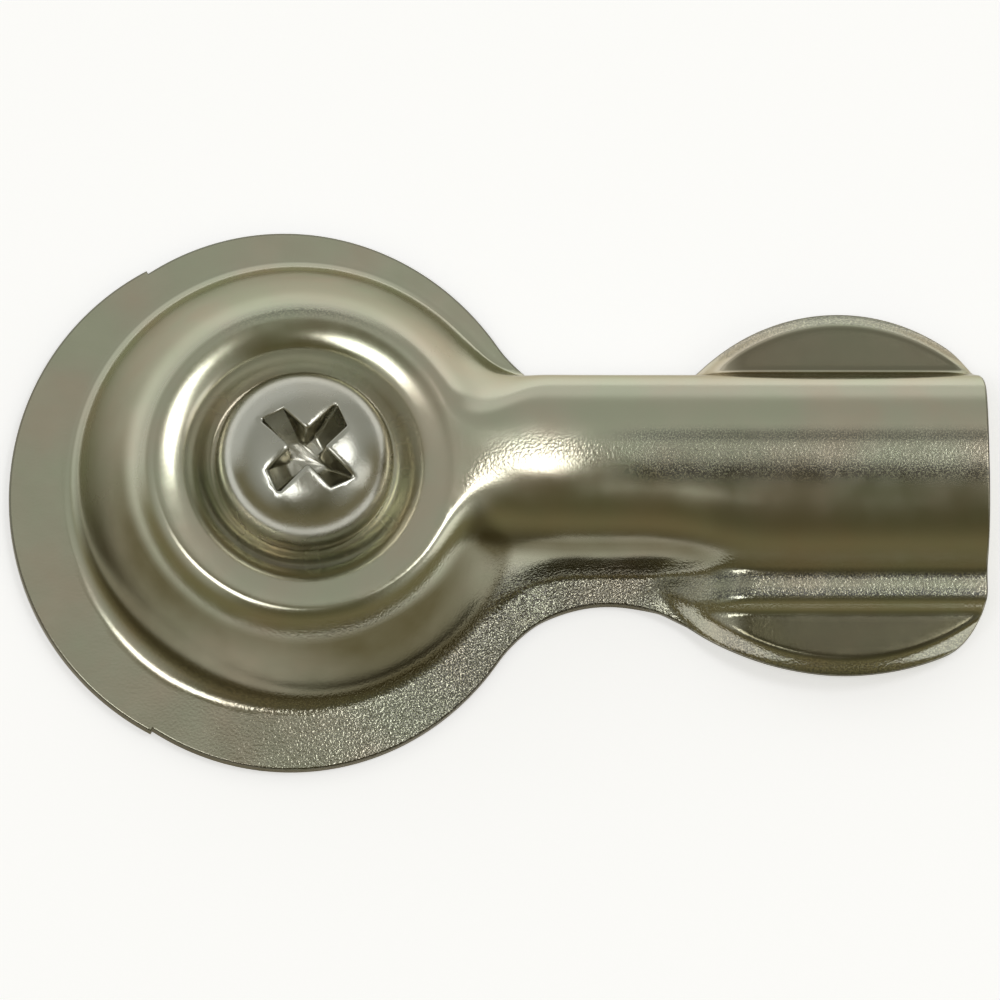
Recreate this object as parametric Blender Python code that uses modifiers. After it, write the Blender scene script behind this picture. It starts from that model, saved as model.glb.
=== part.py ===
"""A stamped frame turn button on its pivot screw.

The button is one pressing of zinc-plated sheet steel. Its blank has a round flange, a narrow neck
and two ears. A hollow boss and a rounded arm are pressed up out of the blank, the ears are raised
with their rims rolled down, and a hole is punched in the boss. A pan-head screw goes through the
hole into the frame, and the button turns about it.

The frame's face is z = 0, the pivot is the Z axis and the arm points along +X.
"""

import math

import bmesh
import bpy
import numpy as np
from mathutils import Vector
from mathutils.geometry import delaunay_2d_cdt

MM = 0.001

# Pivot screw
SHANK_RADIUS = 2.1 * MM
THREAD_CORE_RADIUS = 1.5 * MM
THREAD_PITCH = 1.4 * MM
THREAD_TOOTH = 0.9 * MM
THREAD_EMBED = 0.2 * MM
PLAIN_BELOW_FRAME = 1.5 * MM
THREAD_LENGTH = 10.5 * MM
POINT_LENGTH = 2.8 * MM
NECK_CHAMFER = 0.6 * MM
HEAD_HEIGHT = 3.0 * MM
HEAD_ROUNDNESS = 2.7
RECESS_SPAN = 4.4 * MM
RECESS_WIDTH = 1.0 * MM
RECESS_DEPTH = 1.9 * MM
RECESS_TAPER = 0.45

# Fit of the button on the screw
PIVOT_PLAY = 1.05 * MM
HEAD_BEARING = 0.62 * MM
SEAT_MARGIN = 0.08 * MM
SEAT_GAP = 0.3 * MM

# Boss, heights taken from the top of the flange
SHEET = 0.6 * MM
SEAT_RISE = 3.3 * MM
FUNNEL_DEPTH = 1.0 * MM
FUNNEL_WIDTH = 2.05 * MM
SHOULDER_WIDTH = 3.4 * MM
SHOULDER_ROUND = 2.3 * MM
WALL_SLOPE = 2.6
SEAT_BLEND = 0.35 * MM
SHOULDER_BLEND = 1.3 * MM
FOOT_BLEND = 0.9 * MM

# Arm
ARM_REACH = 28.95 * MM
ARM_RISE = 4.15 * MM
ARM_HALF_WIDTH = 4.0 * MM
ARM_FULLNESS = 3.0
ARM_WALL_SLOPE = 7.0
ARM_ROOT = 1.0 * MM
ARM_SIDE = 0.3 * MM

# Blank, trimmed a little off the pressed form
TRIM_X = -0.5 * MM
TRIM_Y = -0.67 * MM
FLANGE_BEYOND_BOSS = 1.7 * MM
FLANGE_BESIDE_BOSS = 2.4 * MM
PARTING_PROUD = 0.8 * MM
PARTING_STEP = 0.14 * MM
PARTING_HALF_ANGLE = math.radians(58.0)
NECK_RADIUS = 5.75 * MM
EAR_RADIUS = 10.6 * MM
EAR_CUT_OFF = 4.6 * MM
EAR_HALF_SPAN = 7.9 * MM
END_CORNER_RADIUS = 3.0 * MM

# Ears
EAR_RISE = 1.45 * MM
EAR_EDGE_LIFT = 1.15 * MM
EAR_EDGE_REACH = 5.9 * MM
EAR_RIM_WIDTH = 0.85 * MM
EAR_RAMP_LENGTH = 2.6 * MM
EAR_RAMP_SETBACK = 5.8 * MM
EAR_BLEND = 1.1 * MM
EAR_ROOT_WIDTH = 1.8 * MM
EAR_ROOT_RISE = 0.8 * MM

# Fineness of the facets
FACET = 0.62 * MM
STATION = 1.0 * MM
EDGE_STEP = 1.0 * MM
EDGE_MARGIN = 0.3 * MM
SECTORS = 48
SCREW_STEPS = 28
THREAD_STEPS = 16
HEAD_POINTS = 9
PROFILE_SAMPLES = 400
SOLVER_ROUNDS = 60
WELD = 0.01 * MM

# Sizes that follow from the ones above
HOLE_RADIUS = SHANK_RADIUS + PIVOT_PLAY
HEAD_RADIUS = HOLE_RADIUS + HEAD_BEARING
SEAT_RADIUS = HEAD_RADIUS + SEAT_MARGIN
SEAT_TOP = SHEET + SEAT_RISE
CREST_RADIUS = SEAT_RADIUS + FUNNEL_WIDTH
CREST_RISE = SEAT_RISE + FUNNEL_DEPTH
BOSS_RADIUS = CREST_RADIUS + SHOULDER_WIDTH
FLANGE_HALF_LENGTH = BOSS_RADIUS + FLANGE_BEYOND_BOSS
FLANGE_HALF_WIDTH = BOSS_RADIUS + FLANGE_BESIDE_BOSS
EAR_X = ARM_REACH + EAR_CUT_OFF - EAR_RADIUS
EAR_ARC_Y = EAR_HALF_SPAN - EAR_RADIUS
EAR_RAMP_MIDDLE = EAR_X - EAR_RAMP_SETBACK

ZINC = (0.56, 0.55, 0.51, 1.0)
ZINC_ROUGHNESS = 0.3
SCREW_ZINC = (0.62, 0.62, 0.60, 1.0)
SCREW_ROUGHNESS = 0.25


def soft_min(a, b, blend):
    """The lower of two heights, with the crease between them rounded off."""
    overlap = max(blend - abs(a - b), 0.0)
    return min(a, b) - overlap * overlap / (4.0 * blend)


def soft_max(a, b, blend):
    """The higher of two heights, with the crease between them filled."""
    return -soft_min(-a, -b, blend)


def smooth_step(t):
    """A ramp from 0 to 1 with level ends."""
    t = min(max(t, 0.0), 1.0)
    return t * t * (3.0 - 2.0 * t)


def boss_height(radius):
    """Height of the boss above the flange: seat, funnel, crest and wall."""
    out = radius - CREST_RADIUS
    if out < 0.0:
        funnel = CREST_RISE - FUNNEL_DEPTH * (out / FUNNEL_WIDTH) ** 2
        return soft_max(SEAT_RISE, funnel, SEAT_BLEND)
    crown = CREST_RISE - out * out / (2.0 * SHOULDER_ROUND)
    wall = (BOSS_RADIUS - radius) * WALL_SLOPE
    return soft_min(crown, wall, SHOULDER_BLEND)


def ear_ramp(x):
    """How far the ears have risen at this place along the arm, from 0 to 1."""
    return smooth_step((x - EAR_RAMP_MIDDLE) / EAR_RAMP_LENGTH + 0.5)


def arm_height(y):
    """Height of the rounded arm above the flange, falling away beyond its sides."""
    across = abs(y - ARM_SIDE) / ARM_HALF_WIDTH
    if across > 1.0:
        return (1.0 - across) * ARM_HALF_WIDTH * ARM_WALL_SLOPE
    return ARM_RISE * (1.0 - across**ARM_FULLNESS) ** (1.0 / ARM_FULLNESS)


def ear_inset(x, y):
    """How far a point lies inside the ears' edge."""
    across = abs(y - TRIM_Y) - EAR_ARC_Y
    return min(EAR_RADIUS - math.hypot(x - EAR_X, across), ARM_REACH - x)


def ear_root(y):
    """Extra height of the wide fillet that the press leaves between the arm and the -Y ear."""
    if y > ARM_SIDE:
        return 0.0
    away = (ARM_SIDE - ARM_HALF_WIDTH - y) / EAR_ROOT_WIDTH
    return EAR_ROOT_RISE * (1.0 - min(max(away, 0.0), 1.0)) ** 2


def ear_height(x, y):
    """Height of the ears above the flange, with the rims rolled down, least at the tips."""
    edge = EAR_EDGE_LIFT * max(1.0 - ((x - EAR_X) / EAR_EDGE_REACH) ** 2, 0.0)
    rolled = 1.0 - smooth_step(ear_inset(x, y) / EAR_RIM_WIDTH)
    pad = EAR_RISE + ear_root(y)
    return ear_ramp(x) * (pad + (edge - pad) * rolled)


def pressed_height(x, y):
    """Height of the finished sheet's top face above the frame."""
    radius = math.hypot(x, y)
    boss = boss_height(radius)
    if radius <= CREST_RADIUS:
        return SHEET + boss
    base = ear_height(x, y)
    form = soft_max(base, boss, FOOT_BLEND)
    if x > 0.0:
        sunk = CREST_RISE * (1.0 - smooth_step((radius - CREST_RADIUS) / ARM_ROOT))
        blend = FOOT_BLEND + (EAR_BLEND - FOOT_BLEND) * ear_ramp(x)
        form = soft_max(form, arm_height(y) - sunk, blend)
    return SHEET + form


def arc(centre, radius, start, stop, step):
    """Points along an arc from one angle towards another, without its last point."""
    count = max(2, math.ceil(abs(stop - start) * radius / step))
    angles = [start + (stop - start) * i / count for i in range(count)]
    return [(centre[0] + radius * math.cos(a), centre[1] + radius * math.sin(a)) for a in angles]


def flange_point(angle):
    """A point of the oval flange about the blank's centre."""
    return FLANGE_HALF_LENGTH * math.cos(angle), FLANGE_HALF_WIDTH * math.sin(angle)


def neck_centre(angle):
    """Centre of a neck arc that leaves the flange at this angle."""
    x, y = flange_point(angle)
    normal = Vector((x / FLANGE_HALF_LENGTH**2, y / FLANGE_HALF_WIDTH**2)).normalized()
    return x + NECK_RADIUS * normal.x, y + NECK_RADIUS * normal.y


def neck_angle(ear_centre):
    """Angle on the flange where the neck arc that also touches the ear begins."""
    low, high = 0.0, math.pi / 2.0
    for _ in range(SOLVER_ROUNDS):
        middle = (low + high) / 2.0
        x, y = neck_centre(middle)
        gap = math.hypot(x - ear_centre[0], y - ear_centre[1]) - EAR_RADIUS - NECK_RADIUS
        low, high = (middle, high) if gap < 0.0 else (low, middle)
    return (low + high) / 2.0


def parting_proud(angle):
    """How far the strip's parting cut stands proud of the flange at this angle."""
    share = 1.0 - abs(angle - math.pi) / PARTING_HALF_ANGLE
    return PARTING_STEP + (PARTING_PROUD - PARTING_STEP) * math.sin(share * math.pi / 2.0)


def half_outline():
    """Upper half of the blank's edge about its own centre, from the arm's end to the far left."""
    end_x = ARM_REACH - TRIM_X
    ear = (EAR_X - TRIM_X, EAR_ARC_Y)
    corner_x = end_x - END_CORNER_RADIUS
    corner_reach = EAR_RADIUS - END_CORNER_RADIUS
    corner = (corner_x, ear[1] + math.sqrt(corner_reach**2 - (corner_x - ear[0]) ** 2))
    corner_turn = math.atan2(corner[1] - ear[1], corner[0] - ear[0])
    start = neck_angle(ear)
    neck = neck_centre(start)
    to_ear = math.atan2(ear[1] - neck[1], ear[0] - neck[0])
    root = flange_point(start)
    to_flange = math.atan2(root[1] - neck[1], root[0] - neck[0])
    end_rows = max(2, math.ceil(corner[1] / EDGE_STEP))
    points = [(end_x, corner[1] * i / end_rows) for i in range(1, end_rows)]
    points += arc(corner, END_CORNER_RADIUS, 0.0, corner_turn, EDGE_STEP / 2.0)
    points += arc(ear, EAR_RADIUS, corner_turn, to_ear + math.pi, EDGE_STEP)
    points += arc(neck, NECK_RADIUS, to_ear, to_flange % (-2.0 * math.pi), EDGE_STEP)
    parting = math.pi - PARTING_HALF_ANGLE
    count = math.ceil((parting - start) * FLANGE_HALF_WIDTH / EDGE_STEP)
    points += [flange_point(start + (parting - start) * i / count) for i in range(count + 1)]
    count = math.ceil(PARTING_HALF_ANGLE * FLANGE_HALF_WIDTH / EDGE_STEP)
    for i in range(count):
        angle = parting + PARTING_HALF_ANGLE * i / count
        x, y = flange_point(angle)
        proud = 1.0 + parting_proud(angle) / math.hypot(x, y)
        points.append((x * proud, y * proud))
    return points


def blank_outline():
    """The whole edge of the blank, anticlockwise, in the part's frame."""
    upper = half_outline()
    lower = [(x, -y) for x, y in reversed(upper)]
    tip = (ARM_REACH - TRIM_X, 0.0)
    far = (-FLANGE_HALF_LENGTH - PARTING_PROUD, 0.0)
    return [(x + TRIM_X, y + TRIM_Y) for x, y in [tip, *upper, far, *lower]]


def even_places(height, start, stop, spacing):
    """Places between two bounds that are evenly spaced along a section's own length."""
    places = np.linspace(start, stop, PROFILE_SAMPLES)
    heights = np.array([height(p) for p in places])
    travelled = np.concatenate(([0.0], np.cumsum(np.hypot(np.diff(places), np.diff(heights)))))
    count = math.ceil(travelled[-1] / spacing)
    return np.interp(np.linspace(0.0, travelled[-1], count + 1), travelled, places)


def ring(radius):
    """One ring of points about the pivot."""
    turns = [math.tau * i / SECTORS for i in range(SECTORS)]
    return [(radius * math.cos(a), radius * math.sin(a)) for a in turns]


def on_arm(x, y):
    """True where the arm, the neck or the ears shape the sheet, and not the boss or flange."""
    radius = math.hypot(x, y)
    if x < CREST_RADIUS or radius < CREST_RADIUS + ARM_ROOT:
        return False
    beyond_flange = x > FLANGE_HALF_LENGTH + TRIM_X
    return beyond_flange or arm_height(y) > boss_height(radius)


def inside(point, outline):
    """True where a point lies within the outline and clear of its edge."""
    x, y = point
    a = np.array(outline)
    b = np.roll(a, -1, axis=0)
    spans = (a[:, 1] > y) != (b[:, 1] > y)
    rise = np.where(spans, b[:, 1] - a[:, 1], 1.0)
    crossings = spans & (x < a[:, 0] + (y - a[:, 1]) * (b[:, 0] - a[:, 0]) / rise)
    near = np.hypot(a[:, 0] - x, a[:, 1] - y).min()
    return crossings.sum() % 2 == 1 and near > EDGE_MARGIN


def on_rim(x, y):
    """True on the rolled rim of an ear, which has points of its own."""
    beside_arm = abs(y - ARM_SIDE) > ARM_HALF_WIDTH
    return beside_arm and x > EAR_RAMP_MIDDLE and ear_inset(x, y) < EAR_RIM_WIDTH + EDGE_MARGIN


def rim_points(outline):
    """Two lines of points along each ear, at the middle and the inner edge of its rolled rim."""
    points = []
    for x, y in outline:
        if not on_rim(x, y):
            continue
        centre_y = TRIM_Y + math.copysign(EAR_ARC_Y, EAR_ARC_Y * (y - TRIM_Y))
        reach = math.hypot(x - EAR_X, y - centre_y)
        for share in (0.5, 1.0):
            pull = share * EAR_RIM_WIDTH / reach
            point = (x + (EAR_X - x) * pull, y + (centre_y - y) * pull)
            if inside(point, outline):
                points.append(point)
    return points


def blank_points(outline):
    """Points inside the blank: rings about the pivot, then rows along the arm."""
    reach = FLANGE_HALF_WIDTH + PARTING_PROUD - TRIM_X - TRIM_Y
    radii = even_places(lambda r: max(boss_height(r), 0.0), HOLE_RADIUS, reach, FACET)
    rings = [point for radius in radii[1:] for point in ring(radius)]
    points = [p for p in rings if not on_arm(*p) and inside(p, outline)]
    half_span = EAR_HALF_SPAN - TRIM_Y
    rows = even_places(lambda y: pressed_height(EAR_X, y), -half_span, half_span, FACET)
    count = math.ceil((ARM_REACH - CREST_RADIUS) / STATION)
    for i in range(count):
        x = ARM_REACH - (i + 0.5) * STATION
        points += [(x, y) for y in rows if on_arm(x, y) and inside((x, y), outline) and not on_rim(x, y)]
    return points + rim_points(outline)


def loop_edges(first, count):
    """Edges of a closed loop of points."""
    return [(first + i, first + (i + 1) % count) for i in range(count)]


def in_hole(face, points):
    """True for a triangle of the slug that the punch takes out."""
    x = sum(points[i][0] for i in face) / len(face)
    y = sum(points[i][1] for i in face) / len(face)
    return math.hypot(x, y) < HOLE_RADIUS


def blank_triangles():
    """The flat blank with its punched hole, as points and triangles."""
    outline = blank_outline()
    hole = ring(HOLE_RADIUS)
    points = outline + hole + blank_points(outline)
    edges = loop_edges(0, len(outline)) + loop_edges(len(outline), len(hole))
    flat = [Vector((x / MM, y / MM)) for x, y in points]
    inside_edges_only = 1
    verts, _, faces, *_ = delaunay_2d_cdt(flat, edges, [], inside_edges_only, WELD)
    points = [(v.x * MM, v.y * MM) for v in verts]
    return points, [face for face in faces if not in_hole(face, points)]


def new_material(name, colour, roughness):
    """A metal finish."""
    material = bpy.data.materials.new(name)
    material.use_nodes = True
    shader = material.node_tree.nodes["Principled BSDF"]
    shader.inputs["Base Color"].default_value = colour
    shader.inputs["Roughness"].default_value = roughness
    shader.inputs["Metallic"].default_value = 1.0
    return material


def add_object(name, mesh, collection, material=None):
    """Put a mesh in a collection as a named object."""
    obj = bpy.data.objects.new(name, mesh)
    collection.objects.link(obj)
    if material:
        mesh.materials.append(material)
    return obj


def make_cutter(obj):
    """Mark an object as a tool that isn't a piece of the product."""
    obj.hide_render = True
    obj.display_type = "WIRE"
    return obj


def make_turn_button(collection):
    """The pressed button: a formed sheet, thickened downwards."""
    points, faces = blank_triangles()
    mesh = bpy.data.meshes.new("turn_button")
    mesh.from_pydata([(x, y, pressed_height(x, y)) for x, y in points], [], faces)
    mesh.shade_smooth()
    button = add_object("turn_button", mesh, collection, new_material("zinc_plate", ZINC, ZINC_ROUGHNESS))
    sheet = button.modifiers.new("sheet", "SOLIDIFY")
    sheet.thickness = SHEET
    sheet.offset = -1.0
    sheet.use_quality_normals = True
    return button


def turned(name, profile, collection, material):
    """A profile in the XZ plane, turned about the Z axis."""
    mesh = bpy.data.meshes.new(name)
    edges = [(i, i + 1) for i in range(len(profile) - 1)]
    mesh.from_pydata([(r, 0.0, z) for r, z in profile], edges, [])
    obj = add_object(name, mesh, collection, material)
    turn = obj.modifiers.new("turn", "SCREW")
    turn.steps = SCREW_STEPS
    turn.render_steps = SCREW_STEPS
    turn.use_merge_vertices = True
    turn.merge_threshold = WELD
    turn.use_smooth_shade = True
    return obj


def screw_profile():
    """Half section of the screw, from the top of the head down to the point."""
    under_head = SEAT_TOP + SEAT_GAP
    profile = []
    for i in range(HEAD_POINTS):
        turn = math.pi / 2.0 * (1.0 - i / (HEAD_POINTS - 1))
        out = max(math.cos(turn), 0.0) ** (2.0 / HEAD_ROUNDNESS)
        up = max(math.sin(turn), 0.0) ** (2.0 / HEAD_ROUNDNESS)
        profile.append((HEAD_RADIUS * out, under_head + HEAD_HEIGHT * up))
    thread_top = -PLAIN_BELOW_FRAME
    thread_bottom = thread_top - THREAD_LENGTH
    profile += [
        (SHANK_RADIUS, under_head),
        (SHANK_RADIUS, thread_top),
        (THREAD_CORE_RADIUS, thread_top - NECK_CHAMFER),
        (THREAD_CORE_RADIUS, thread_bottom),
        (0.0, thread_bottom - POINT_LENGTH),
    ]
    profile[0] = (0.0, profile[0][1])
    return profile


def make_thread(collection):
    """The helical ridge of the screw, closed at both ends."""
    mesh = bpy.data.meshes.new("thread_ridge")
    root = THREAD_CORE_RADIUS - THREAD_EMBED
    bottom = -PLAIN_BELOW_FRAME - THREAD_LENGTH
    half = THREAD_TOOTH / 2.0
    loop = [(root, 0.0, bottom + THREAD_TOOTH), (SHANK_RADIUS, 0.0, bottom + half), (root, 0.0, bottom)]
    mesh.from_pydata(loop, [(0, 1), (1, 2), (2, 0)], [])
    swept = add_object("thread_sweep", mesh, collection)
    helix = swept.modifiers.new("helix", "SCREW")
    helix.screw_offset = THREAD_PITCH
    helix.iterations = math.floor((THREAD_LENGTH - NECK_CHAMFER) / THREAD_PITCH)
    helix.steps = THREAD_STEPS
    helix.render_steps = THREAD_STEPS
    solid = bpy.data.meshes.new_from_object(swept.evaluated_get(bpy.context.evaluated_depsgraph_get()))
    bpy.data.objects.remove(swept)
    shape = bmesh.new()
    shape.from_mesh(solid)
    bmesh.ops.holes_fill(shape, edges=[edge for edge in shape.edges if edge.is_boundary])
    bmesh.ops.recalc_face_normals(shape, faces=shape.faces)
    shape.to_mesh(solid)
    shape.free()
    return make_cutter(add_object("thread_ridge", solid, collection))


def make_recess_wing(name, turn, collection):
    """One wing of the cross recess: a slot that narrows towards its floor."""
    top = SEAT_TOP + SEAT_GAP + HEAD_HEIGHT
    shape = bmesh.new()
    bmesh.ops.create_cube(shape, size=1.0)
    for vert in shape.verts:
        shrink = 1.0 if vert.co.z > 0.0 else RECESS_TAPER
        vert.co.x *= RECESS_SPAN * shrink
        vert.co.y *= RECESS_WIDTH * (1.0 + shrink) / 2.0
        vert.co.z *= 2.0 * RECESS_DEPTH
    mesh = bpy.data.meshes.new(name)
    shape.to_mesh(mesh)
    shape.free()
    wing = make_cutter(add_object(name, mesh, collection))
    wing.location.z = top
    wing.rotation_euler.z = turn
    return wing


def join_or_cut(obj, tool, operation):
    """Join a tool to an object, or cut it out."""
    boolean = obj.modifiers.new(tool.name, "BOOLEAN")
    boolean.operation = operation
    boolean.solver = "EXACT"
    boolean.object = tool


def make_pivot_screw(collection, cutters):
    """The pan-head screw: turned blank, rolled thread and cross recess."""
    finish = new_material("screw_zinc", SCREW_ZINC, SCREW_ROUGHNESS)
    screw = turned("pivot_screw", screw_profile(), collection, finish)
    join_or_cut(screw, make_thread(cutters), "UNION")
    for number, turn in enumerate((math.radians(45.0), math.radians(135.0))):
        join_or_cut(screw, make_recess_wing(f"recess_wing_{number + 1}", turn, cutters), "DIFFERENCE")
    return screw


def new_collection(name):
    """A collection in the scene."""
    collection = bpy.data.collections.new(name)
    bpy.context.scene.collection.children.link(collection)
    return collection


def main():
    """Build the button and its screw."""
    for obj in list(bpy.data.objects):
        bpy.data.objects.remove(obj)
    parts = new_collection("frame_turn_button")
    cutters = new_collection("cutters")
    make_turn_button(parts)
    make_pivot_screw(parts, cutters)


main()
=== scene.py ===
"""Looks of a stamped frame turn button on its pivot screw.

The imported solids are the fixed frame. A finely pressed zinc sheet stands for the button and a screw with a
real thread and cross recess stands for the pivot. The frame's face is z = 0, the pivot is the Z axis and
the arm points along +X. All sizes are in metres.
"""

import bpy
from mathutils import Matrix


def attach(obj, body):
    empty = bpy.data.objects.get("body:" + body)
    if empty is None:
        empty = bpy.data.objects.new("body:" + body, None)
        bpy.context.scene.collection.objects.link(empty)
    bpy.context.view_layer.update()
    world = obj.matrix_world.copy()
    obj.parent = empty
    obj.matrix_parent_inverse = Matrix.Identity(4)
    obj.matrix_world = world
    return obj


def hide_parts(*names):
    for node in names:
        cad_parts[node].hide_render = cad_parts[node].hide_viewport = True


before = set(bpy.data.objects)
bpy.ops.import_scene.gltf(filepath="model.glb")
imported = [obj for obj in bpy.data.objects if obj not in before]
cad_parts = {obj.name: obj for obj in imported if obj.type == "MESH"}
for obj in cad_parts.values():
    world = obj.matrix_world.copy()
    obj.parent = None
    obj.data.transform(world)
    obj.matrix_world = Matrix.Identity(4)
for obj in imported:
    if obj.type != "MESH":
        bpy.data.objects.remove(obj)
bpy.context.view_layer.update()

import logging
import math
from dataclasses import dataclass, field
from enum import Enum

import bmesh
import bpy
import numpy as np
from mathutils import Matrix, Vector
from mathutils.geometry import delaunay_2d_cdt

MM = 0.001
TEST_BLOCK = 2000
LOG = logging.getLogger("turn_button")

Colour = tuple[float, float, float]
Range = tuple[float, float]
NoiseSize = tuple[float, float]


class Mask(Enum):
    """Painted masks on the pressed sheet that its finish reads."""

    PEEL = "peel"
    # painted shade: dark reflection painted where walls, flanks and pads should mirror dark surroundings
    PAINTED_SHADE = "painted_shade"
    # speckled wear, and painted shade lines in folds and along the arm
    SCUFF_AND_SHADE = "scuff_and_shade"
    MATTE = "matte"
    CUT = "cut"


def soft_min(a: np.ndarray, b: np.ndarray, blend: np.ndarray | float) -> np.ndarray:
    """Lower of two heights, with the crease between them rounded.

    Args:
        a: First heights.
        b: Second heights.
        blend: Difference in height over which the two run into each other.

    Returns:
        The blended heights.
    """
    overlap = np.maximum(blend - np.abs(a - b), 0.0)
    return np.minimum(a, b) - overlap**2 / (4.0 * blend)


def soft_max(a: np.ndarray, b: np.ndarray, blend: np.ndarray | float) -> np.ndarray:
    """Higher of two heights, with the crease between them filled.

    Args:
        a: First heights.
        b: Second heights.
        blend: Difference in height over which the two run into each other.

    Returns:
        The blended heights.
    """
    return -soft_min(-a, -b, blend)


def smooth_step(t: np.ndarray | float) -> np.ndarray:
    """A ramp from 0 to 1 with level, evenly curved ends."""
    t = np.clip(t, 0.0, 1.0)
    return t**3 * (10.0 - 15.0 * t + 6.0 * t * t)


def bump_at(value: np.ndarray, centre: np.ndarray | float, width: float) -> np.ndarray:
    """A smooth bell of height 1 about a centre."""
    return np.exp(-(((value - centre) / width) ** 2))


def turn_from(angle: np.ndarray, centre: float) -> np.ndarray:
    """Degrees from a centre angle, between -180 and 180."""
    return (angle - centre + 180.0) % 360.0 - 180.0


@dataclass
class PressedForm:
    """Heights of the pressed sheet over the frame: boss, arm and raised ears."""

    sheet: float = 0.6 * MM
    hole_radius: float = 3.15 * MM
    seat_rise: float = 3.3 * MM
    seat_blend: float = 0.35 * MM
    funnel_radius: float = 4.75 * MM
    funnel_slope: float = 1.1
    funnel_blend: float = 0.3 * MM
    dish_round: float = 3.2 * MM
    crest_radius: float = 6.3 * MM
    crest_rise: float = 4.3 * MM
    shoulder_round: float = 2.4 * MM
    shoulder_blend: float = 1.3 * MM
    boss_radius: float = 9.5 * MM
    wall_slope: float = 1.75
    foot_blend: float = 0.7 * MM
    foot_swell: float = 0.9 * MM
    foot_swell_angle: float = -130.0
    foot_swell_width: float = 32.0
    arm_reach: float = 28.95 * MM
    arm_rise: float = 3.94 * MM
    arm_side: float = 0.47 * MM
    arm_half_width: float = 4.16 * MM
    far_half_width: float = 4.0 * MM
    arm_fullness: float = 2.4
    far_fullness: float = 3.2
    arm_wall_slope: float = 7.0
    arm_flare: float = 0.8 * MM
    flare_middle: float = 17.2 * MM
    flare_length: float = 7.0 * MM
    arm_root_rise: float = 0.36 * MM
    arm_root_start: float = 6.3 * MM
    arm_root_length: float = 6.6 * MM
    root_round: float = 2.8 * MM
    far_root_round: float = 1.25 * MM
    root_change: float = 4.0 * MM
    root_mix: float = 5.0 * MM
    far_foot_delay: int = 3
    arm_foot_blend: float = 2.0 * MM
    far_foot_blend: float = 0.25 * MM
    ear_x: float = 22.95 * MM
    ear_radius: float = 10.6 * MM
    ear_arc_y: float = -2.7 * MM
    far_ear_radius: float = 8.8 * MM
    far_ear_arc_y: float = -0.9 * MM
    ear_mid_y: float = -0.67 * MM
    ear_rise: float = 1.45 * MM
    ear_edge_lift: float = 0.95 * MM
    ear_edge_reach: float = 6.6 * MM
    ear_rim_width: float = 0.72 * MM
    ear_ramp_middle: float = 16.6 * MM
    ear_ramp_length: float = 5.0 * MM
    ear_blend: float = 0.6 * MM
    ear_shelf_edge: float = -5.5 * MM
    ear_shelf_step: float = 0.4 * MM
    ear_shelf_rise: float = 0.5 * MM
    pips: tuple[tuple[float, float], ...] = ((9.4 * MM, -5.0 * MM), (15.6 * MM, -4.9 * MM))
    pip_rise: float = 0.17 * MM
    pip_radius: float = 0.8 * MM
    settle: float = 0.3 * MM
    settle_margin: float = 2.0 * MM
    settle_rings: tuple[tuple[float, int, float], ...] = ((0.5, 6, 0.7), (1.0, 8, 0.25))
    slope_step: float = 0.004 * MM

    def boss(self, radius: np.ndarray) -> np.ndarray:
        """Height of the boss above the flange.

        Args:
            radius: Distances from the pivot.

        Returns:
            Heights of seat, funnel, crest and wall.
        """
        out = radius - self.crest_radius
        dish = self.crest_rise - out**2 / (2.0 * self.dish_round)
        lip = self.crest_rise - (self.crest_radius - self.funnel_radius) ** 2 / (2.0 * self.dish_round)
        funnel = lip - (self.funnel_radius - radius) * self.funnel_slope
        funnel = soft_min(dish, funnel, self.funnel_blend)
        inner = soft_max(np.full_like(out, self.seat_rise), funnel, self.seat_blend)
        crown = self.crest_rise - out**2 / (2.0 * self.shoulder_round)
        wall = (self.boss_radius - radius) * self.wall_slope
        return np.where(out < 0.0, inner, soft_min(crown, wall, self.shoulder_blend))

    def half_width(self, x: np.ndarray, y: np.ndarray) -> np.ndarray:
        """Half width of the arm's foot on the side where each place lies."""
        return np.where(y < self.arm_side, self.near_half_width(x), self.far_half_width)

    def arm_inside(self, x: np.ndarray, y: np.ndarray) -> np.ndarray:
        """Distance inside the arm's foot, far below zero behind the pivot."""
        inside = self.half_width(x, y) - np.abs(y - self.arm_side)
        return np.where(x > 0.0, inside, -self.boss_radius)

    def arm(self, x: np.ndarray, y: np.ndarray, inside: np.ndarray) -> np.ndarray:
        """Height of the rounded arm above the flange.

        Args:
            x: Places along the arm.
            y: Places across the arm.
            inside: Distances inside the arm's foot.

        Returns:
            Heights, which fall away straight below the arm's shoulders.
        """
        power = np.where(y < self.arm_side, self.arm_fullness, self.far_fullness)
        half = self.half_width(x, y)
        along = (x - self.arm_root_start) / self.arm_root_length
        rise = self.arm_rise + self.arm_root_rise * (1.0 - smooth_step(along))
        steep = (self.arm_wall_slope * half / rise) ** (power / (power - 1.0))
        knee = (steep / (1.0 + steep)) ** (1.0 / power)
        across = np.maximum(1.0 - inside / half, 0.0)
        arch = rise * (1.0 - np.minimum(across, knee) ** power) ** (1.0 / power)
        return arch - np.maximum(across - knee, 0.0) * half * self.arm_wall_slope

    def near_half_width(self, x: np.ndarray) -> np.ndarray:
        """Half width of the arm on its -Y side, which flares beside the ear."""
        flare = smooth_step((x - self.flare_middle) / self.flare_length + 0.5)
        return self.arm_half_width + self.arm_flare * flare

    def ear_ramp(self, x: np.ndarray) -> np.ndarray:
        """How far the ears have risen at places along the arm, from 0 to 1."""
        return smooth_step((x - self.ear_ramp_middle) / self.ear_ramp_length + 0.5)

    def ear_inset(self, x: np.ndarray, y: np.ndarray) -> np.ndarray:
        """Distance inside the ears' edge.

        Args:
            x: Places along the arm.
            y: Places across the arm.

        Returns:
            Distances, below zero outside the edge.
        """
        far = y > self.ear_mid_y
        across = np.abs(y - self.ear_mid_y) - np.where(far, self.far_ear_arc_y, self.ear_arc_y)
        radius = np.where(far, self.far_ear_radius, self.ear_radius)
        return radius - np.hypot(x - self.ear_x, across)

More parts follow.
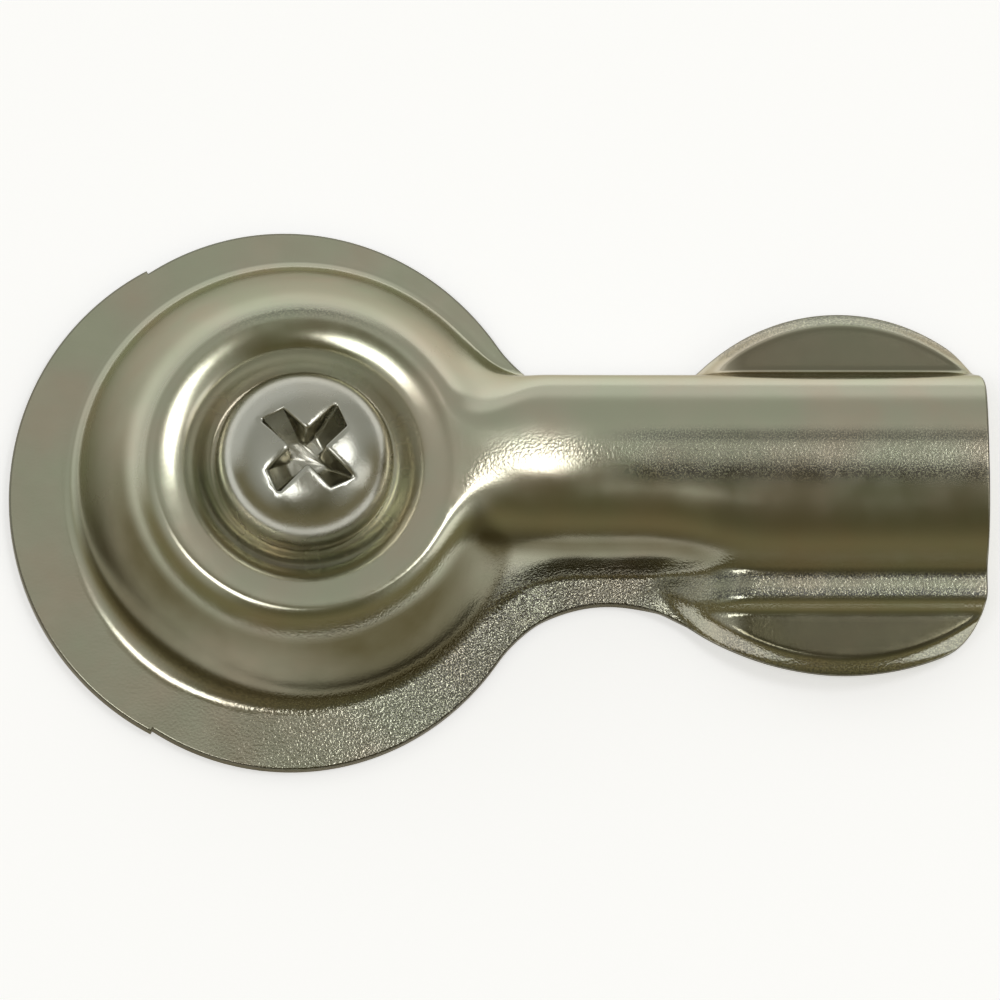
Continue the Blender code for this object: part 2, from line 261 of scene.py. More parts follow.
    def ears(self, x: np.ndarray, y: np.ndarray) -> np.ndarray:
        """Height of the ears above the flange.

        Args:
            x: Places along the arm.
            y: Places across the arm.

        Returns:
            Heights of pads, rolled rims and the shelf beside the arm.
        """
        shelf = 1.0 - smooth_step((self.ear_shelf_edge - y) / self.ear_shelf_step)
        pad = self.ear_rise + self.ear_shelf_rise * np.where(y > self.arm_side, 0.0, shelf)
        edge = self.ear_edge_lift * np.maximum(1.0 - ((x - self.ear_x) / self.ear_edge_reach) ** 2, 0.0)
        rolled = 1.0 - smooth_step(self.ear_inset(x, y) / self.ear_rim_width)
        return self.ear_ramp(x) * (pad + (edge - pad) * rolled)

    def sharp_height(self, x: np.ndarray, y: np.ndarray) -> np.ndarray:
        """Height of boss, arm and ears joined by plain fillets.

        Args:
            x: Places along the arm.
            y: Places across the arm.

        Returns:
            Heights above the flange.
        """
        radius = np.hypot(x, y)
        from_boss, from_arm = self.boss_radius - radius, self.arm_inside(x, y)
        far = smooth_step((y - self.arm_side) / self.root_change + 0.5)
        root = self.root_round + (self.far_root_round - self.root_round) * far
        inside = soft_max(from_boss, from_arm, root)
        share = smooth_step((from_arm - from_boss) / self.root_mix + 0.5)
        boss = self.boss(np.maximum(self.boss_radius - inside, self.crest_radius))
        raised = boss + (self.arm(x, y, inside) - boss) * share
        turn = turn_from(np.degrees(np.arctan2(y, x)), self.foot_swell_angle)
        boss_foot = self.foot_blend + self.foot_swell * bump_at(turn, 0.0, self.foot_swell_width)
        near_foot = self.arm_foot_blend + (self.ear_blend - self.arm_foot_blend) * self.ear_ramp(x)
        near = y < self.arm_side
        arm_foot = np.where(near, near_foot, self.far_foot_blend)
        foot_share = np.where(near, share, share**self.far_foot_delay)
        joined = soft_max(self.ears(x, y), raised, boss_foot + (arm_foot - boss_foot) * foot_share)
        for pip_x, pip_y in self.pips:
            away = np.hypot(x - pip_x, y - pip_y)
            joined = joined + self.pip_rise * bump_at(away, 0.0, self.pip_radius)
        return np.where(radius <= self.crest_radius, self.boss(radius), joined)

    def height(self, x: np.ndarray, y: np.ndarray) -> np.ndarray:
        """Height of the sheet's top face above the frame, evened out where the metal has flowed.

        Args:
            x: Places along the arm.
            y: Places across the arm.

        Returns:
            Heights in the part's frame.
        """
        reach = self.settle * smooth_step((x - self.crest_radius) / self.settle_margin)
        reach = reach * smooth_step((np.hypot(x, y) - self.crest_radius) / self.settle_margin)
        total, weights = self.sharp_height(x, y), 1.0
        for share, count, weight in self.settle_rings:
            for i in range(count):
                turn = math.tau * (i + share) / count
                across, up = share * reach * math.cos(turn), share * reach * math.sin(turn)
                total = total + weight * self.sharp_height(x + across, y + up)
                weights += weight
        return self.sheet + total / weights

    def normal(self, x: np.ndarray, y: np.ndarray) -> np.ndarray:
        """Upward normals of the top face.

        Args:
            x: Places along the arm.
            y: Places across the arm.

        Returns:
            One unit normal per place.
        """
        step = self.slope_step
        along = (self.height(x + step, y) - self.height(x - step, y)) / (2.0 * step)
        across = (self.height(x, y + step) - self.height(x, y - step)) / (2.0 * step)
        normals = np.stack([-along, -across, np.ones_like(along)], axis=1)
        return normals / np.linalg.norm(normals, axis=1, keepdims=True)


@dataclass
class BlankOutline:
    """Edge of the blank: oval flange with its parting cut, narrow neck and round ears."""

    form: PressedForm = field(default_factory=PressedForm)
    centre_x: float = -0.5 * MM
    centre_y: float = -0.67 * MM
    flange_half_length: float = 11.0 * MM
    flange_half_width: float = 11.7 * MM
    parting_proud: float = 0.8 * MM
    parting_step: float = 0.14 * MM
    parting_half_angle: float = math.radians(58.0)
    neck_radius: float = 5.75 * MM
    far_neck_y: float = 5.42 * MM
    corner_radius: float = 3.0 * MM
    step: float = 0.22 * MM
    solver_rounds: int = 60

    def flange(self, angle: np.ndarray) -> np.ndarray:
        """Points of the oval flange about the blank's centre."""
        x, y = self.flange_half_length * np.cos(angle), self.flange_half_width * np.sin(angle)
        return np.stack([x, y], axis=-1)

    def arc(self, centre: np.ndarray, radius: float, start: float, stop: float) -> np.ndarray:
        """Points along an arc, without its last point.

        Args:
            centre: The arc's centre.
            radius: The arc's radius.
            start: First angle.
            stop: Last angle.

        Returns:
            Evenly spaced points.
        """
        count = max(2, math.ceil(abs(stop - start) * radius / self.step))
        angles = start + (stop - start) * np.arange(count) / count
        return centre + radius * np.stack([np.cos(angles), np.sin(angles)], axis=1)

    def neck_centre(self, angle: float) -> np.ndarray:
        """Centre of a neck arc that leaves the flange at this angle.

        Args:
            angle: Angle on the flange in radians.

        Returns:
            The arc's centre.
        """
        point = self.flange(np.array(angle))
        normal = point / np.array([self.flange_half_length**2, self.flange_half_width**2])
        return point + self.neck_radius * normal / np.linalg.norm(normal)

    def neck_angle(self, ear: np.ndarray, ear_radius: float) -> float:
        """Angle on the flange where the neck arc that touches the ear begins.

        Args:
            ear: Centre of the ear's arc.
            ear_radius: The ear's radius.

        Returns:
            The angle in radians.
        """
        low, high = 0.0, math.pi / 2.0
        for _ in range(self.solver_rounds):
            middle = (low + high) / 2.0
            gap = np.linalg.norm(self.neck_centre(middle) - ear) - ear_radius - self.neck_radius
            low, high = (middle, high) if gap < 0.0 else (low, middle)
        return (low + high) / 2.0

    def half(self, ear_radius: float, ear_arc_y: float, least_y: float = 0.0) -> np.ndarray:
        """One half of the edge about the blank's own centre, from the arm's end to the far left.

        Args:
            ear_radius: The ear's radius.
            ear_arc_y: Height of the centre of the ear's arc.
            least_y: Height below which the neck doesn't dip.

        Returns:
            Points of the half that lies above the centre.
        """
        end_x = self.form.arm_reach - self.centre_x
        ear = np.array([self.form.ear_x - self.centre_x, ear_arc_y])
        corner_x = end_x - self.corner_radius
        reach = ear_radius - self.corner_radius
        corner = np.array([corner_x, ear[1] + math.sqrt(reach**2 - (corner_x - ear[0]) ** 2)])
        corner_turn = math.atan2(corner[1] - ear[1], corner[0] - ear[0])
        start = self.neck_angle(ear, ear_radius)
        neck = self.neck_centre(start)
        to_ear = math.atan2(ear[1] - neck[1], ear[0] - neck[0])
        root = self.flange(np.array(start))
        to_flange = math.atan2(root[1] - neck[1], root[0] - neck[0]) % (-2.0 * math.pi)
        waist = self.arc(neck, self.neck_radius, to_ear, to_flange)
        waist[:, 1] = np.maximum(waist[:, 1], least_y)
        rows = math.ceil(corner[1] / self.step)
        end = np.stack([np.full(rows, end_x), corner[1] * np.arange(rows) / rows], axis=1)
        parting = math.pi - self.parting_half_angle
        count = math.ceil((parting - start) * self.flange_half_width / self.step)
        flange = self.flange(start + (parting - start) * np.arange(count + 1) / count)
        count = math.ceil(self.parting_half_angle * self.flange_half_width / self.step)
        share = np.arange(count) / count
        cut = self.flange(parting + self.parting_half_angle * share)
        proud = self.parting_step + (self.parting_proud - self.parting_step) * np.sin(share * math.pi / 2.0)
        cut *= 1.0 + (proud / np.linalg.norm(cut, axis=1))[:, None]
        rounded = self.arc(corner, self.corner_radius, 0.0, corner_turn)
        ear_edge = self.arc(ear, ear_radius, corner_turn, to_ear + math.pi)
        return np.concatenate([end, rounded, ear_edge, waist, flange, cut])

    def points(self) -> np.ndarray:
        """The whole edge, anticlockwise, in the part's frame.

        Returns:
            Points of the edge.
        """
        form = self.form
        upper = self.half(form.far_ear_radius, form.far_ear_arc_y, self.far_neck_y)
        left = np.array([[-self.flange_half_length - self.parting_proud, 0.0]])
        lower = self.half(form.ear_radius, form.ear_arc_y)[:0:-1] * np.array([1.0, -1.0])
        return np.concatenate([upper, left, lower]) + np.array([self.centre_x, self.centre_y])


def unit_ring(sectors: int) -> np.ndarray:
    """Evenly spaced points of a circle of radius 1."""
    turns = math.tau * np.arange(sectors) / sectors
    return np.stack([np.cos(turns), np.sin(turns)], axis=1)


def grid_points(along: np.ndarray, across: np.ndarray) -> np.ndarray:
    """Points of a grid, one row after the other."""
    return np.stack(np.meshgrid(along, across, indexing="ij"), axis=-1).reshape(-1, 2)


def rotated(points: np.ndarray, turn: float) -> np.ndarray:
    """Points turned anticlockwise about the origin."""
    c, s = math.cos(turn), math.sin(turn)
    return points @ np.array([[c, s], [-s, c]])


def outward(loop: np.ndarray) -> np.ndarray:
    """Outward unit normals of an anticlockwise loop in the plane.

    Args:
        loop: The loop's points.

    Returns:
        One normal per point.
    """
    along = np.roll(loop, -1, axis=0) - np.roll(loop, 1, axis=0)
    normals = np.stack([along[:, 1], -along[:, 0]], axis=1)
    return normals / np.linalg.norm(normals, axis=1, keepdims=True)


def clear_inside(points: np.ndarray, loop: np.ndarray, margin: float) -> np.ndarray:
    """Which points lie inside a loop and clear of its edge.

    Args:
        points: Points to test.
        loop: The loop's points.
        margin: Least distance from the loop's points.

    Returns:
        One truth value per point.
    """
    kept = np.zeros(len(points), bool)
    after = np.roll(loop, -1, axis=0)
    for block in np.array_split(np.arange(len(points)), max(1, len(points) // TEST_BLOCK)):
        x, y = points[block, 0:1], points[block, 1:2]
        spans = (loop[:, 1] > y) != (after[:, 1] > y)
        rise = np.where(spans, after[:, 1] - loop[:, 1], 1.0)
        crossed = spans & (x < loop[:, 0] + (y - loop[:, 1]) * (after[:, 0] - loop[:, 0]) / rise)
        near = np.hypot(x - loop[:, 0], y - loop[:, 1]).min(axis=1)
        kept[block] = (crossed.sum(axis=1) % 2 == 1) & (near > margin)
    return kept


def even_places(places: np.ndarray, heights: np.ndarray, spacing: float) -> np.ndarray:
    """Places that are evenly spaced along a section's own length.

    Args:
        places: Fine samples along the section's base.
        heights: The section's heights there.
        spacing: Wanted spacing.

    Returns:
        The places, both ends among them.
    """
    travelled = np.concatenate(([0.0], np.cumsum(np.hypot(np.diff(places), np.diff(heights)))))
    count = math.ceil(travelled[-1] / spacing)
    return np.interp(np.linspace(0.0, travelled[-1], count + 1), travelled, places)


def triangulate(points: np.ndarray, loops: list[tuple[int, int]]) -> np.ndarray:
    """Triangles of a flat set of points inside closed loops.

    Args:
        points: Points in the plane, those of the loops first.
        loops: First point and count of each loop.

    Returns:
        The triangles, as numbers of the points.
    """
    edges = [(first + i, first + (i + 1) % count) for first, count in loops for i in range(count)]
    flat = [Vector(point) for point in points / MM]
    inside_only = 1
    weld = 1e-5
    verts, _, faces, sources, *_ = delaunay_2d_cdt(flat, edges, [], inside_only, weld)
    if len(verts) != len(points) or any(i not in source for i, source in enumerate(sources)):
        raise ValueError("points of the sheet coincide")
    return np.array(faces)


@dataclass(frozen=True)
class ZincFinish:
    """Bright zinc plate on steel, with pressing marks and painted shade. Each noise has a scale and a
    detail.
    """

    name: str
    tints: tuple[Colour, ...]
    edge_tint: Colour = (0.6, 0.56, 0.46)
    # painted shade: dark olive-brown painted into walls, flanks and pads in place of dark reflections
    painted_shade: Colour = (0.11, 0.094, 0.046)
    # speckled wear, also used for painted shade lines in folds and painted dark streaks along the arm
    scuff_and_shade: Colour = (0.15, 0.15, 0.145)
    cut: Colour = (0.07, 0.064, 0.05)
    smooth: float = 0.165
    rough: float = 0.215
    matte: float = 0.27
    tint_noise: NoiseSize = (260.0, 3.0)
    tint_range: Range = (0.34, 0.66)
    cloud_noise: NoiseSize = (700.0, 3.0)
    cloud_range: Range = (0.3, 0.7)
    patch_range: Range = (0.25, 0.75)
    patch_shares: Range = (0.95, 1.0)
    speck_noise: NoiseSize = (15000.0, 2.0)
    speck_range: Range = (0.36, 0.58)
    peel_noise: NoiseSize = (8500.0, 2.0)
    peel_height: float = 0.04 * MM
    wave_noise: NoiseSize = (900.0, 1.0)
    wave_height: float = 0.004 * MM
    masked: bool = True


class Easing(Enum):
    """Ways from one end of a range to the other."""

    STRAIGHT = "LINEAR"
    SMOOTH = "SMOOTHSTEP"


class NodeGraph:
    """Adds nodes to the graph of a material or of the room."""

    def __init__(self, owner: bpy.types.Material | bpy.types.World) -> None:
        """Turn on the owner's nodes and take its graph."""
        owner.use_nodes = True
        self.tree = owner.node_tree

    def node(
        self, kind: str, inputs: dict[str | int, object] | None = None, **settings: object
    ) -> bpy.types.Node:
        """Add a node.

        Args:
            kind: Blender's name of the node type.
            inputs: Values or sockets for its inputs.
            **settings: Attributes of the node.

        Returns:
            The node.
        """
        made = self.tree.nodes.new(kind)
        for key, value in settings.items():
            setattr(made, key, value)
        for key, value in (inputs or {}).items():
            self.feed(made.inputs[key], value)
        return made

    def feed(self, socket: bpy.types.NodeSocket, value: object) -> None:
        """Give an input a number or a colour, or link it to an output.

        Args:
            socket: The input.
            value: The number, colour or output.
        """
        if isinstance(value, bpy.types.NodeSocket):
            self.tree.links.new(value, socket)
        elif isinstance(value, tuple):
            socket.default_value = (*value, 1.0)
        else:
            socket.default_value = value

    def noise(self, place: bpy.types.NodeSocket, size: NoiseSize) -> bpy.types.NodeSocket:
        """Noise over the object with a scale and a detail."""
        inputs = {"Vector": place, "Scale": size[0], "Detail": size[1]}
        return self.node("ShaderNodeTexNoise", inputs).outputs["Fac"]

    def remap(
        self,
        value: bpy.types.NodeSocket,
        source: Range,
        target: Range = (0.0, 1.0),
        easing: Easing = Easing.STRAIGHT,
    ) -> bpy.types.NodeSocket:
        """Map a value from one range to another.

        Args:
            value: The value's socket.
            source: Range it comes in.
            target: Range it goes to.
            easing: Way from end to end.

        Returns:
            The mapped value's socket.
        """
        inputs = {"Value": value, 1: source[0], 2: source[1], 3: target[0], 4: target[1]}
        made = self.node("ShaderNodeMapRange", inputs, interpolation_type=easing.value)
        return made.outputs["Result"]

    def ease(self, value: bpy.types.NodeSocket, source: Range) -> bpy.types.NodeSocket:
        """Smooth ramp from 0 at a range's first end to 1 at its second."""
        return self.remap(value, source, easing=Easing.SMOOTH)

    def calculate(self, operation: str, a: object, b: object) -> bpy.types.NodeSocket:
        """Result of an operation on two numbers or sockets."""
        return self.node("ShaderNodeMath", {0: a, 1: b}, operation=operation).outputs["Value"]

    def product(self, a: object, b: object) -> bpy.types.NodeSocket:
        """Product of two numbers or sockets."""
        return self.calculate("MULTIPLY", a, b)

    def mix(self, share: object, a: object, b: object) -> bpy.types.NodeSocket:
        """Colour between two colours."""
        inputs = {0: share, 6: a, 7: b}
        return self.node("ShaderNodeMix", inputs, data_type="RGBA").outputs[2]

    def mask(self, mask: Mask) -> bpy.types.NodeSocket:
        """A painted mask of the mesh."""
        return self.node("ShaderNodeAttribute", attribute_name=mask.value).outputs["Fac"]

    def ramp(
        self, value: bpy.types.NodeSocket, spread: Range, colours: tuple[Colour, ...]
    ) -> bpy.types.NodeSocket:
        """Colours spread along a value.

        Args:
            value: The value's socket.
            spread: Values of the first and the last colour.
            colours: Two or more colours.

        Returns:
            The colour's socket.
        """
        made = self.node("ShaderNodeValToRGB", {"Fac": value})
        stops = made.color_ramp.elements
        middle = 0.5
        while len(stops) < len(colours):
            stops.new(middle)
        for stop, place, colour in zip(stops, np.linspace(*spread, len(colours)), colours):
            stop.position = place
            stop.color = (*colour, 1.0)
        return made.outputs["Color"]


def zinc_material(finish: ZincFinish) -> bpy.types.Material:
    """Material of a zinc finish.

    Args:
        finish: The finish.

    Returns:
        The material.
    """
    material = bpy.data.materials.new(finish.name)
    graph = NodeGraph(material)
    place = graph.node("ShaderNodeTexCoord").outputs["Object"]
    cloud = graph.noise(place, finish.cloud_noise)
    peel = graph.noise(place, finish.peel_noise)
    wave = graph.noise(place, finish.wave_noise)
    colour = graph.ramp(graph.noise(place, finish.tint_noise), finish.tint_range, finish.tints)
    roughness = graph.remap(cloud, finish.cloud_range, (finish.smooth, finish.rough))
    grain = peel
    if finish.masked:
        patchy = graph.remap(cloud, finish.patch_range, finish.patch_shares)
        specks = graph.remap(graph.noise(place, finish.speck_noise), finish.speck_range)
        # Speckled wear with painted shade lines, then painted shade, then the dark sheared edge.
        colour = graph.mix(graph.product(graph.mask(Mask.SCUFF_AND_SHADE), specks), colour, finish.scuff_and_shade)
        colour = graph.mix(graph.product(graph.mask(Mask.PAINTED_SHADE), patchy), colour, finish.painted_shade)
        colour = graph.mix(graph.product(graph.mask(Mask.CUT), patchy), colour, finish.cut)
        matte = {0: graph.mask(Mask.MATTE), 1: finish.matte, 2: roughness}
        roughness = graph.node("ShaderNodeMath", matte, operation="MULTIPLY_ADD").outputs["Value"]
        grain = graph.product(peel, graph.mask(Mask.PEEL))
    bump = {"Height": wave, "Distance": finish.wave_height}
    normal = graph.node("ShaderNodeBump", bump).outputs["Normal"]
    bump = {"Height": grain, "Distance": finish.peel_height, "Normal": normal}
    normal = graph.node("ShaderNodeBump", bump).outputs["Normal"]
    shader = graph.tree.nodes["Principled BSDF"]
    graph.feed(shader.inputs["Metallic"], 1.0)
    graph.feed(shader.inputs["Specular Tint"], finish.edge_tint)
    graph.feed(shader.inputs["Base Color"], colour)
    graph.feed(shader.inputs["Roughness"], roughness)
    graph.feed(shader.inputs["Normal"], normal)
    return material


PLATE_ZINC = ZincFinish(
    "zinc_plate_pressed",
    tints=((0.645, 0.59, 0.465), (0.62, 0.61, 0.48), (0.595, 0.62, 0.475)),
)
SCREW_ZINC = ZincFinish(
    "screw_zinc_turned",
    tints=((0.55, 0.54, 0.47), (0.57, 0.57, 0.51), (0.54, 0.55, 0.49)),
    smooth=0.2,
    rough=0.3,
    peel_height=0.003 * MM,
    wave_height=0.003 * MM,
    masked=False,
)


class Measure(Enum):
    """What a mark's place on the sheet is measured by, in millimetres or degrees."""

    X = "along the arm from the pivot"
    Y = "across the arm from the pivot"
    RADIUS = "out from the pivot"
    TURN = "round the pivot from the arm"
    PAST_BOSS = "out from the foot of the boss"
    PAST_FOOT = "across from the near foot of the plain arm"
    UP_WALL = "across from the near foot with its flare"
    BESIDE = "to either side of the arm's middle"
    INTO_ARM = "more inside the arm than inside the boss"
    OFF_CREST = "across from the bright line of the arm's root"
    INSET = "inside the ears' edge"


class Falloff(Enum):
    """How a mark comes and goes along a measure."""

    BELL = "bell"
    RAMP = "ramp"
    TILT = "tilt"


@dataclass(frozen=True)
class Fade:
    """Coming and going of a mark along one measure of the sheet."""

    falloff: Falloff
    measure: Measure
    start: float
    length: float
    gain: float = 1.0

    def share(self, value: np.ndarray) -> np.ndarray:
        """Share of the mark's strength.

        Args:
            value: Values of the measure.

        Returns:
            Shares, from 0 to 1 for a bell or a ramp and about 1 for a tilt.
        """
        on_turn = self.measure is Measure.TURN
        offset = turn_from(value, self.start) if on_turn else value - self.start
        if self.falloff is Falloff.BELL:
            return np.minimum(self.gain * bump_at(offset, 0.0, self.length), 1.0)
        if self.falloff is Falloff.RAMP:
            return smooth_step(offset / self.length)
        return 1.0 + offset / self.length


def bell(measure: Measure, centre: float, width: float, gain: float = 1.0) -> Fade:
    """A mark on both sides of a centre, with its top cut level if the gain is above 1."""
    return Fade(Falloff.BELL, measure, centre, width, gain)


def ramp(measure: Measure, start: float, length: float) -> Fade:
    """A mark that begins at a place and is whole a length further on, or back if that is negative."""
    return Fade(Falloff.RAMP, measure, start, length)


@dataclass(frozen=True)
class PressOrShadeMark:
    """One press mark or painted shade mark, as strong as all its fades together leave it."""

    mask: Mask
    strength: float
    fades: tuple[Fade, ...] = ()

    def share(self, measures: dict[Measure, np.ndarray]) -> np.ndarray:
        """Strength of the mark at each place.

        Args:
            measures: The places' measures.

        Returns:
            Strengths.
        """
        total = np.full_like(measures[Measure.X], self.strength)
        for fade in self.fades:
            total *= fade.share(measures[fade.measure])
        return total


OFF_ARM = ramp(Measure.INTO_ARM, 0.6, -1.2)
ARM_RUN = ramp(Measure.X, 11.0, 5.0)
ARM_END = ramp(Measure.X, 14.5, 4.0)
EAR_RUN = ramp(Measure.X, 16.8, 1.0)
NEAR_FLANGE = (
    ramp(Measure.PAST_BOSS, -0.5, 0.7),
    ramp(Measure.X, 13.0, -3.0),
    bell(Measure.TURN, -50.0, 42.0),
    ramp(Measure.PAST_FOOT, 0.0, -0.8),
)
NECK = (ramp(Measure.PAST_FOOT, 0.2, -0.5), bell(Measure.X, 13.2, 4.2))
EAR_SHELF = (bell(Measure.Y, -4.95, 0.55), ramp(Measure.X, 17.0, 2.0))
EAR_RIM = (
    ramp(Measure.INSET, 0.7, -0.3),
    ramp(Measure.X, 17.0, 1.5),
    ramp(Measure.BESIDE, 4.8, 0.001),
)
EAR_PAD = (
    ramp(Measure.X, 17.5, 1.5),
    ramp(Measure.INSET, 0.5, 0.25),
    Fade(Falloff.TILT, Measure.Y, 0.0, -63.33),
)
BOSS_WALL = (ramp(Measure.RADIUS, 6.9, 0.9), ramp(Measure.PAST_BOSS, 0.2, -0.4), OFF_ARM)
BRIGHT_CREST = (ramp(Measure.X, 6.2, 0.8), bell(Measure.OFF_CREST, 0.0, 0.5))
NEAR_WALL = (bell(Measure.UP_WALL, 0.5, 0.5), ramp(Measure.X, 6.5, 2.0))
UPPER_WALL = (
    bell(Measure.TURN, 112.0, 58.0, gain=1.4),
    ramp(Measure.RADIUS, 6.5, 0.6),
    ramp(Measure.RADIUS, 9.35, -0.4),
    OFF_ARM,
)
# Press marks, and painted shade: dark reflections, shade lines and darker places painted into the sheet's
# colour.
PRESS_AND_SHADE_MARKS = (
    PressOrShadeMark(Mask.PEEL, 0.03),
    PressOrShadeMark(Mask.PEEL, 1.0, NEAR_FLANGE),
    PressOrShadeMark(Mask.PEEL, 1.0, NECK),
    PressOrShadeMark(Mask.PEEL, 0.15, EAR_SHELF),
    PressOrShadeMark(Mask.PEEL, 0.3, EAR_RIM),
    PressOrShadeMark(Mask.PEEL, 0.15, BRIGHT_CREST),
    PressOrShadeMark(Mask.PEEL, 0.2, (*BRIGHT_CREST, bell(Measure.X, 9.5, 3.8))),
    PressOrShadeMark(Mask.PEEL, 0.15, (bell(Measure.RADIUS, 7.4, 1.0), bell(Measure.TURN, -65.0, 40.0))),
    # Painted shade: dark reflection painted on the boss wall, the arm's near flank, the ear pads, the neck,
    # the near flange and along the arm's end.
    PressOrShadeMark(Mask.PAINTED_SHADE, 0.85, (*BOSS_WALL, bell(Measure.TURN, -150.0, 52.0))),
    PressOrShadeMark(Mask.PAINTED_SHADE, 0.9, (*BOSS_WALL, bell(Measure.TURN, -58.0, 46.0))),
    PressOrShadeMark(Mask.PAINTED_SHADE, 0.15, (*BOSS_WALL, bell(Measure.RADIUS, 7.7, 0.6))),
    PressOrShadeMark(Mask.PAINTED_SHADE, 0.315, NEAR_WALL),
    PressOrShadeMark(Mask.PAINTED_SHADE, 0.585, (*NEAR_WALL, ramp(Measure.X, 19.0, -3.0))),
    PressOrShadeMark(Mask.PAINTED_SHADE, 0.25, (ramp(Measure.X, 16.5, 1.5), bell(Measure.Y, -1.9, 1.2))),
    PressOrShadeMark(Mask.PAINTED_SHADE, 0.76, (*EAR_PAD, ramp(Measure.Y, -5.9, -0.3))),
    PressOrShadeMark(Mask.PAINTED_SHADE, 0.76, (*EAR_PAD, ramp(Measure.Y, 4.45, 0.2))),
    PressOrShadeMark(Mask.PAINTED_SHADE, 0.28, NECK),
    PressOrShadeMark(Mask.PAINTED_SHADE, 0.2, NEAR_FLANGE),
    PressOrShadeMark(Mask.PAINTED_SHADE, 0.4, (ARM_END, bell(Measure.Y, -0.5, 0.5))),
    PressOrShadeMark(Mask.PAINTED_SHADE, 0.3, (ARM_END, bell(Measure.Y, 1.15, 0.3))),
    # Speckled wear together with painted shade: dark streaks along the arm, shade lines in the near ear's
    # folds, at the crest and at the boss's foot; plain speckled wear on the pitted flange and neck.
    PressOrShadeMark(Mask.SCUFF_AND_SHADE, 0.8, (ARM_RUN, bell(Measure.Y, 1.15, 0.25))),
    PressOrShadeMark(Mask.SCUFF_AND_SHADE, 1.0, (ARM_RUN, bell(Measure.Y, -0.4, 0.42))),
    PressOrShadeMark(Mask.SCUFF_AND_SHADE, 0.3, (ARM_RUN, bell(Measure.Y, 0.4, 0.5))),
    PressOrShadeMark(Mask.SCUFF_AND_SHADE, 1.0, (EAR_RUN, bell(Measure.Y, -4.45, 0.18))),
    PressOrShadeMark(Mask.SCUFF_AND_SHADE, 0.8, (EAR_RUN, bell(Measure.Y, -5.0, 0.1))),
    PressOrShadeMark(Mask.SCUFF_AND_SHADE, 1.0, (EAR_RUN, bell(Measure.Y, -5.3, 0.12))),
    PressOrShadeMark(Mask.SCUFF_AND_SHADE, 0.12, (EAR_RUN, *EAR_SHELF)),
    PressOrShadeMark(Mask.SCUFF_AND_SHADE, 0.9, NEAR_FLANGE),
    PressOrShadeMark(Mask.SCUFF_AND_SHADE, 0.9, NECK),
    PressOrShadeMark(Mask.SCUFF_AND_SHADE, 0.6, EAR_RIM),
    PressOrShadeMark(Mask.SCUFF_AND_SHADE, 0.5, (bell(Measure.RADIUS, 6.5, 0.2), bell(Measure.TURN, 90.0, 28.0))),
    PressOrShadeMark(Mask.SCUFF_AND_SHADE, 0.6, (bell(Measure.RADIUS, 7.3, 0.3), bell(Measure.TURN, -72.0, 22.0))),
    PressOrShadeMark(Mask.SCUFF_AND_SHADE, 0.8, (bell(Measure.PAST_BOSS, -0.1, 0.25), bell(Measure.TURN, -120.0, 28.0))),
    PressOrShadeMark(Mask.MATTE, 1.0, UPPER_WALL),
)


@dataclass
class SheetMesh:
    """Collects the skin of the sheet: points, faces, normals and shares of sheared edge."""

    points: list[np.ndarray] = field(default_factory=list)
    normals: list[np.ndarray] = field(default_factory=list)
    faces: list[tuple[int, ...]] = field(default_factory=list)
    cut: list[np.ndarray] = field(default_factory=list)
    count: int = 0

    def add(self, points: np.ndarray, normals: np.ndarray, cut: float = 0.0) -> np.ndarray:
        """Add points.

        Args:
            points: Places.
            normals: Unit normals.
            cut: Share of sheared edge, from 0 to 1.

        Returns:
            The points' numbers.
        """
        self.points.append(points)
        self.normals.append(normals)
        self.cut.append(np.full(len(points), cut))
        first, self.count = self.count, self.count + len(points)
        return np.arange(first, self.count)

    def strip(self, upper: np.ndarray, lower: np.ndarray) -> None:
        """Join two loops of points by a band of faces."""
        for a, b, c, d in zip(upper, lower, np.roll(lower, -1), np.roll(upper, -1)):
            self.faces.append((int(a), int(b), int(c), int(d)))


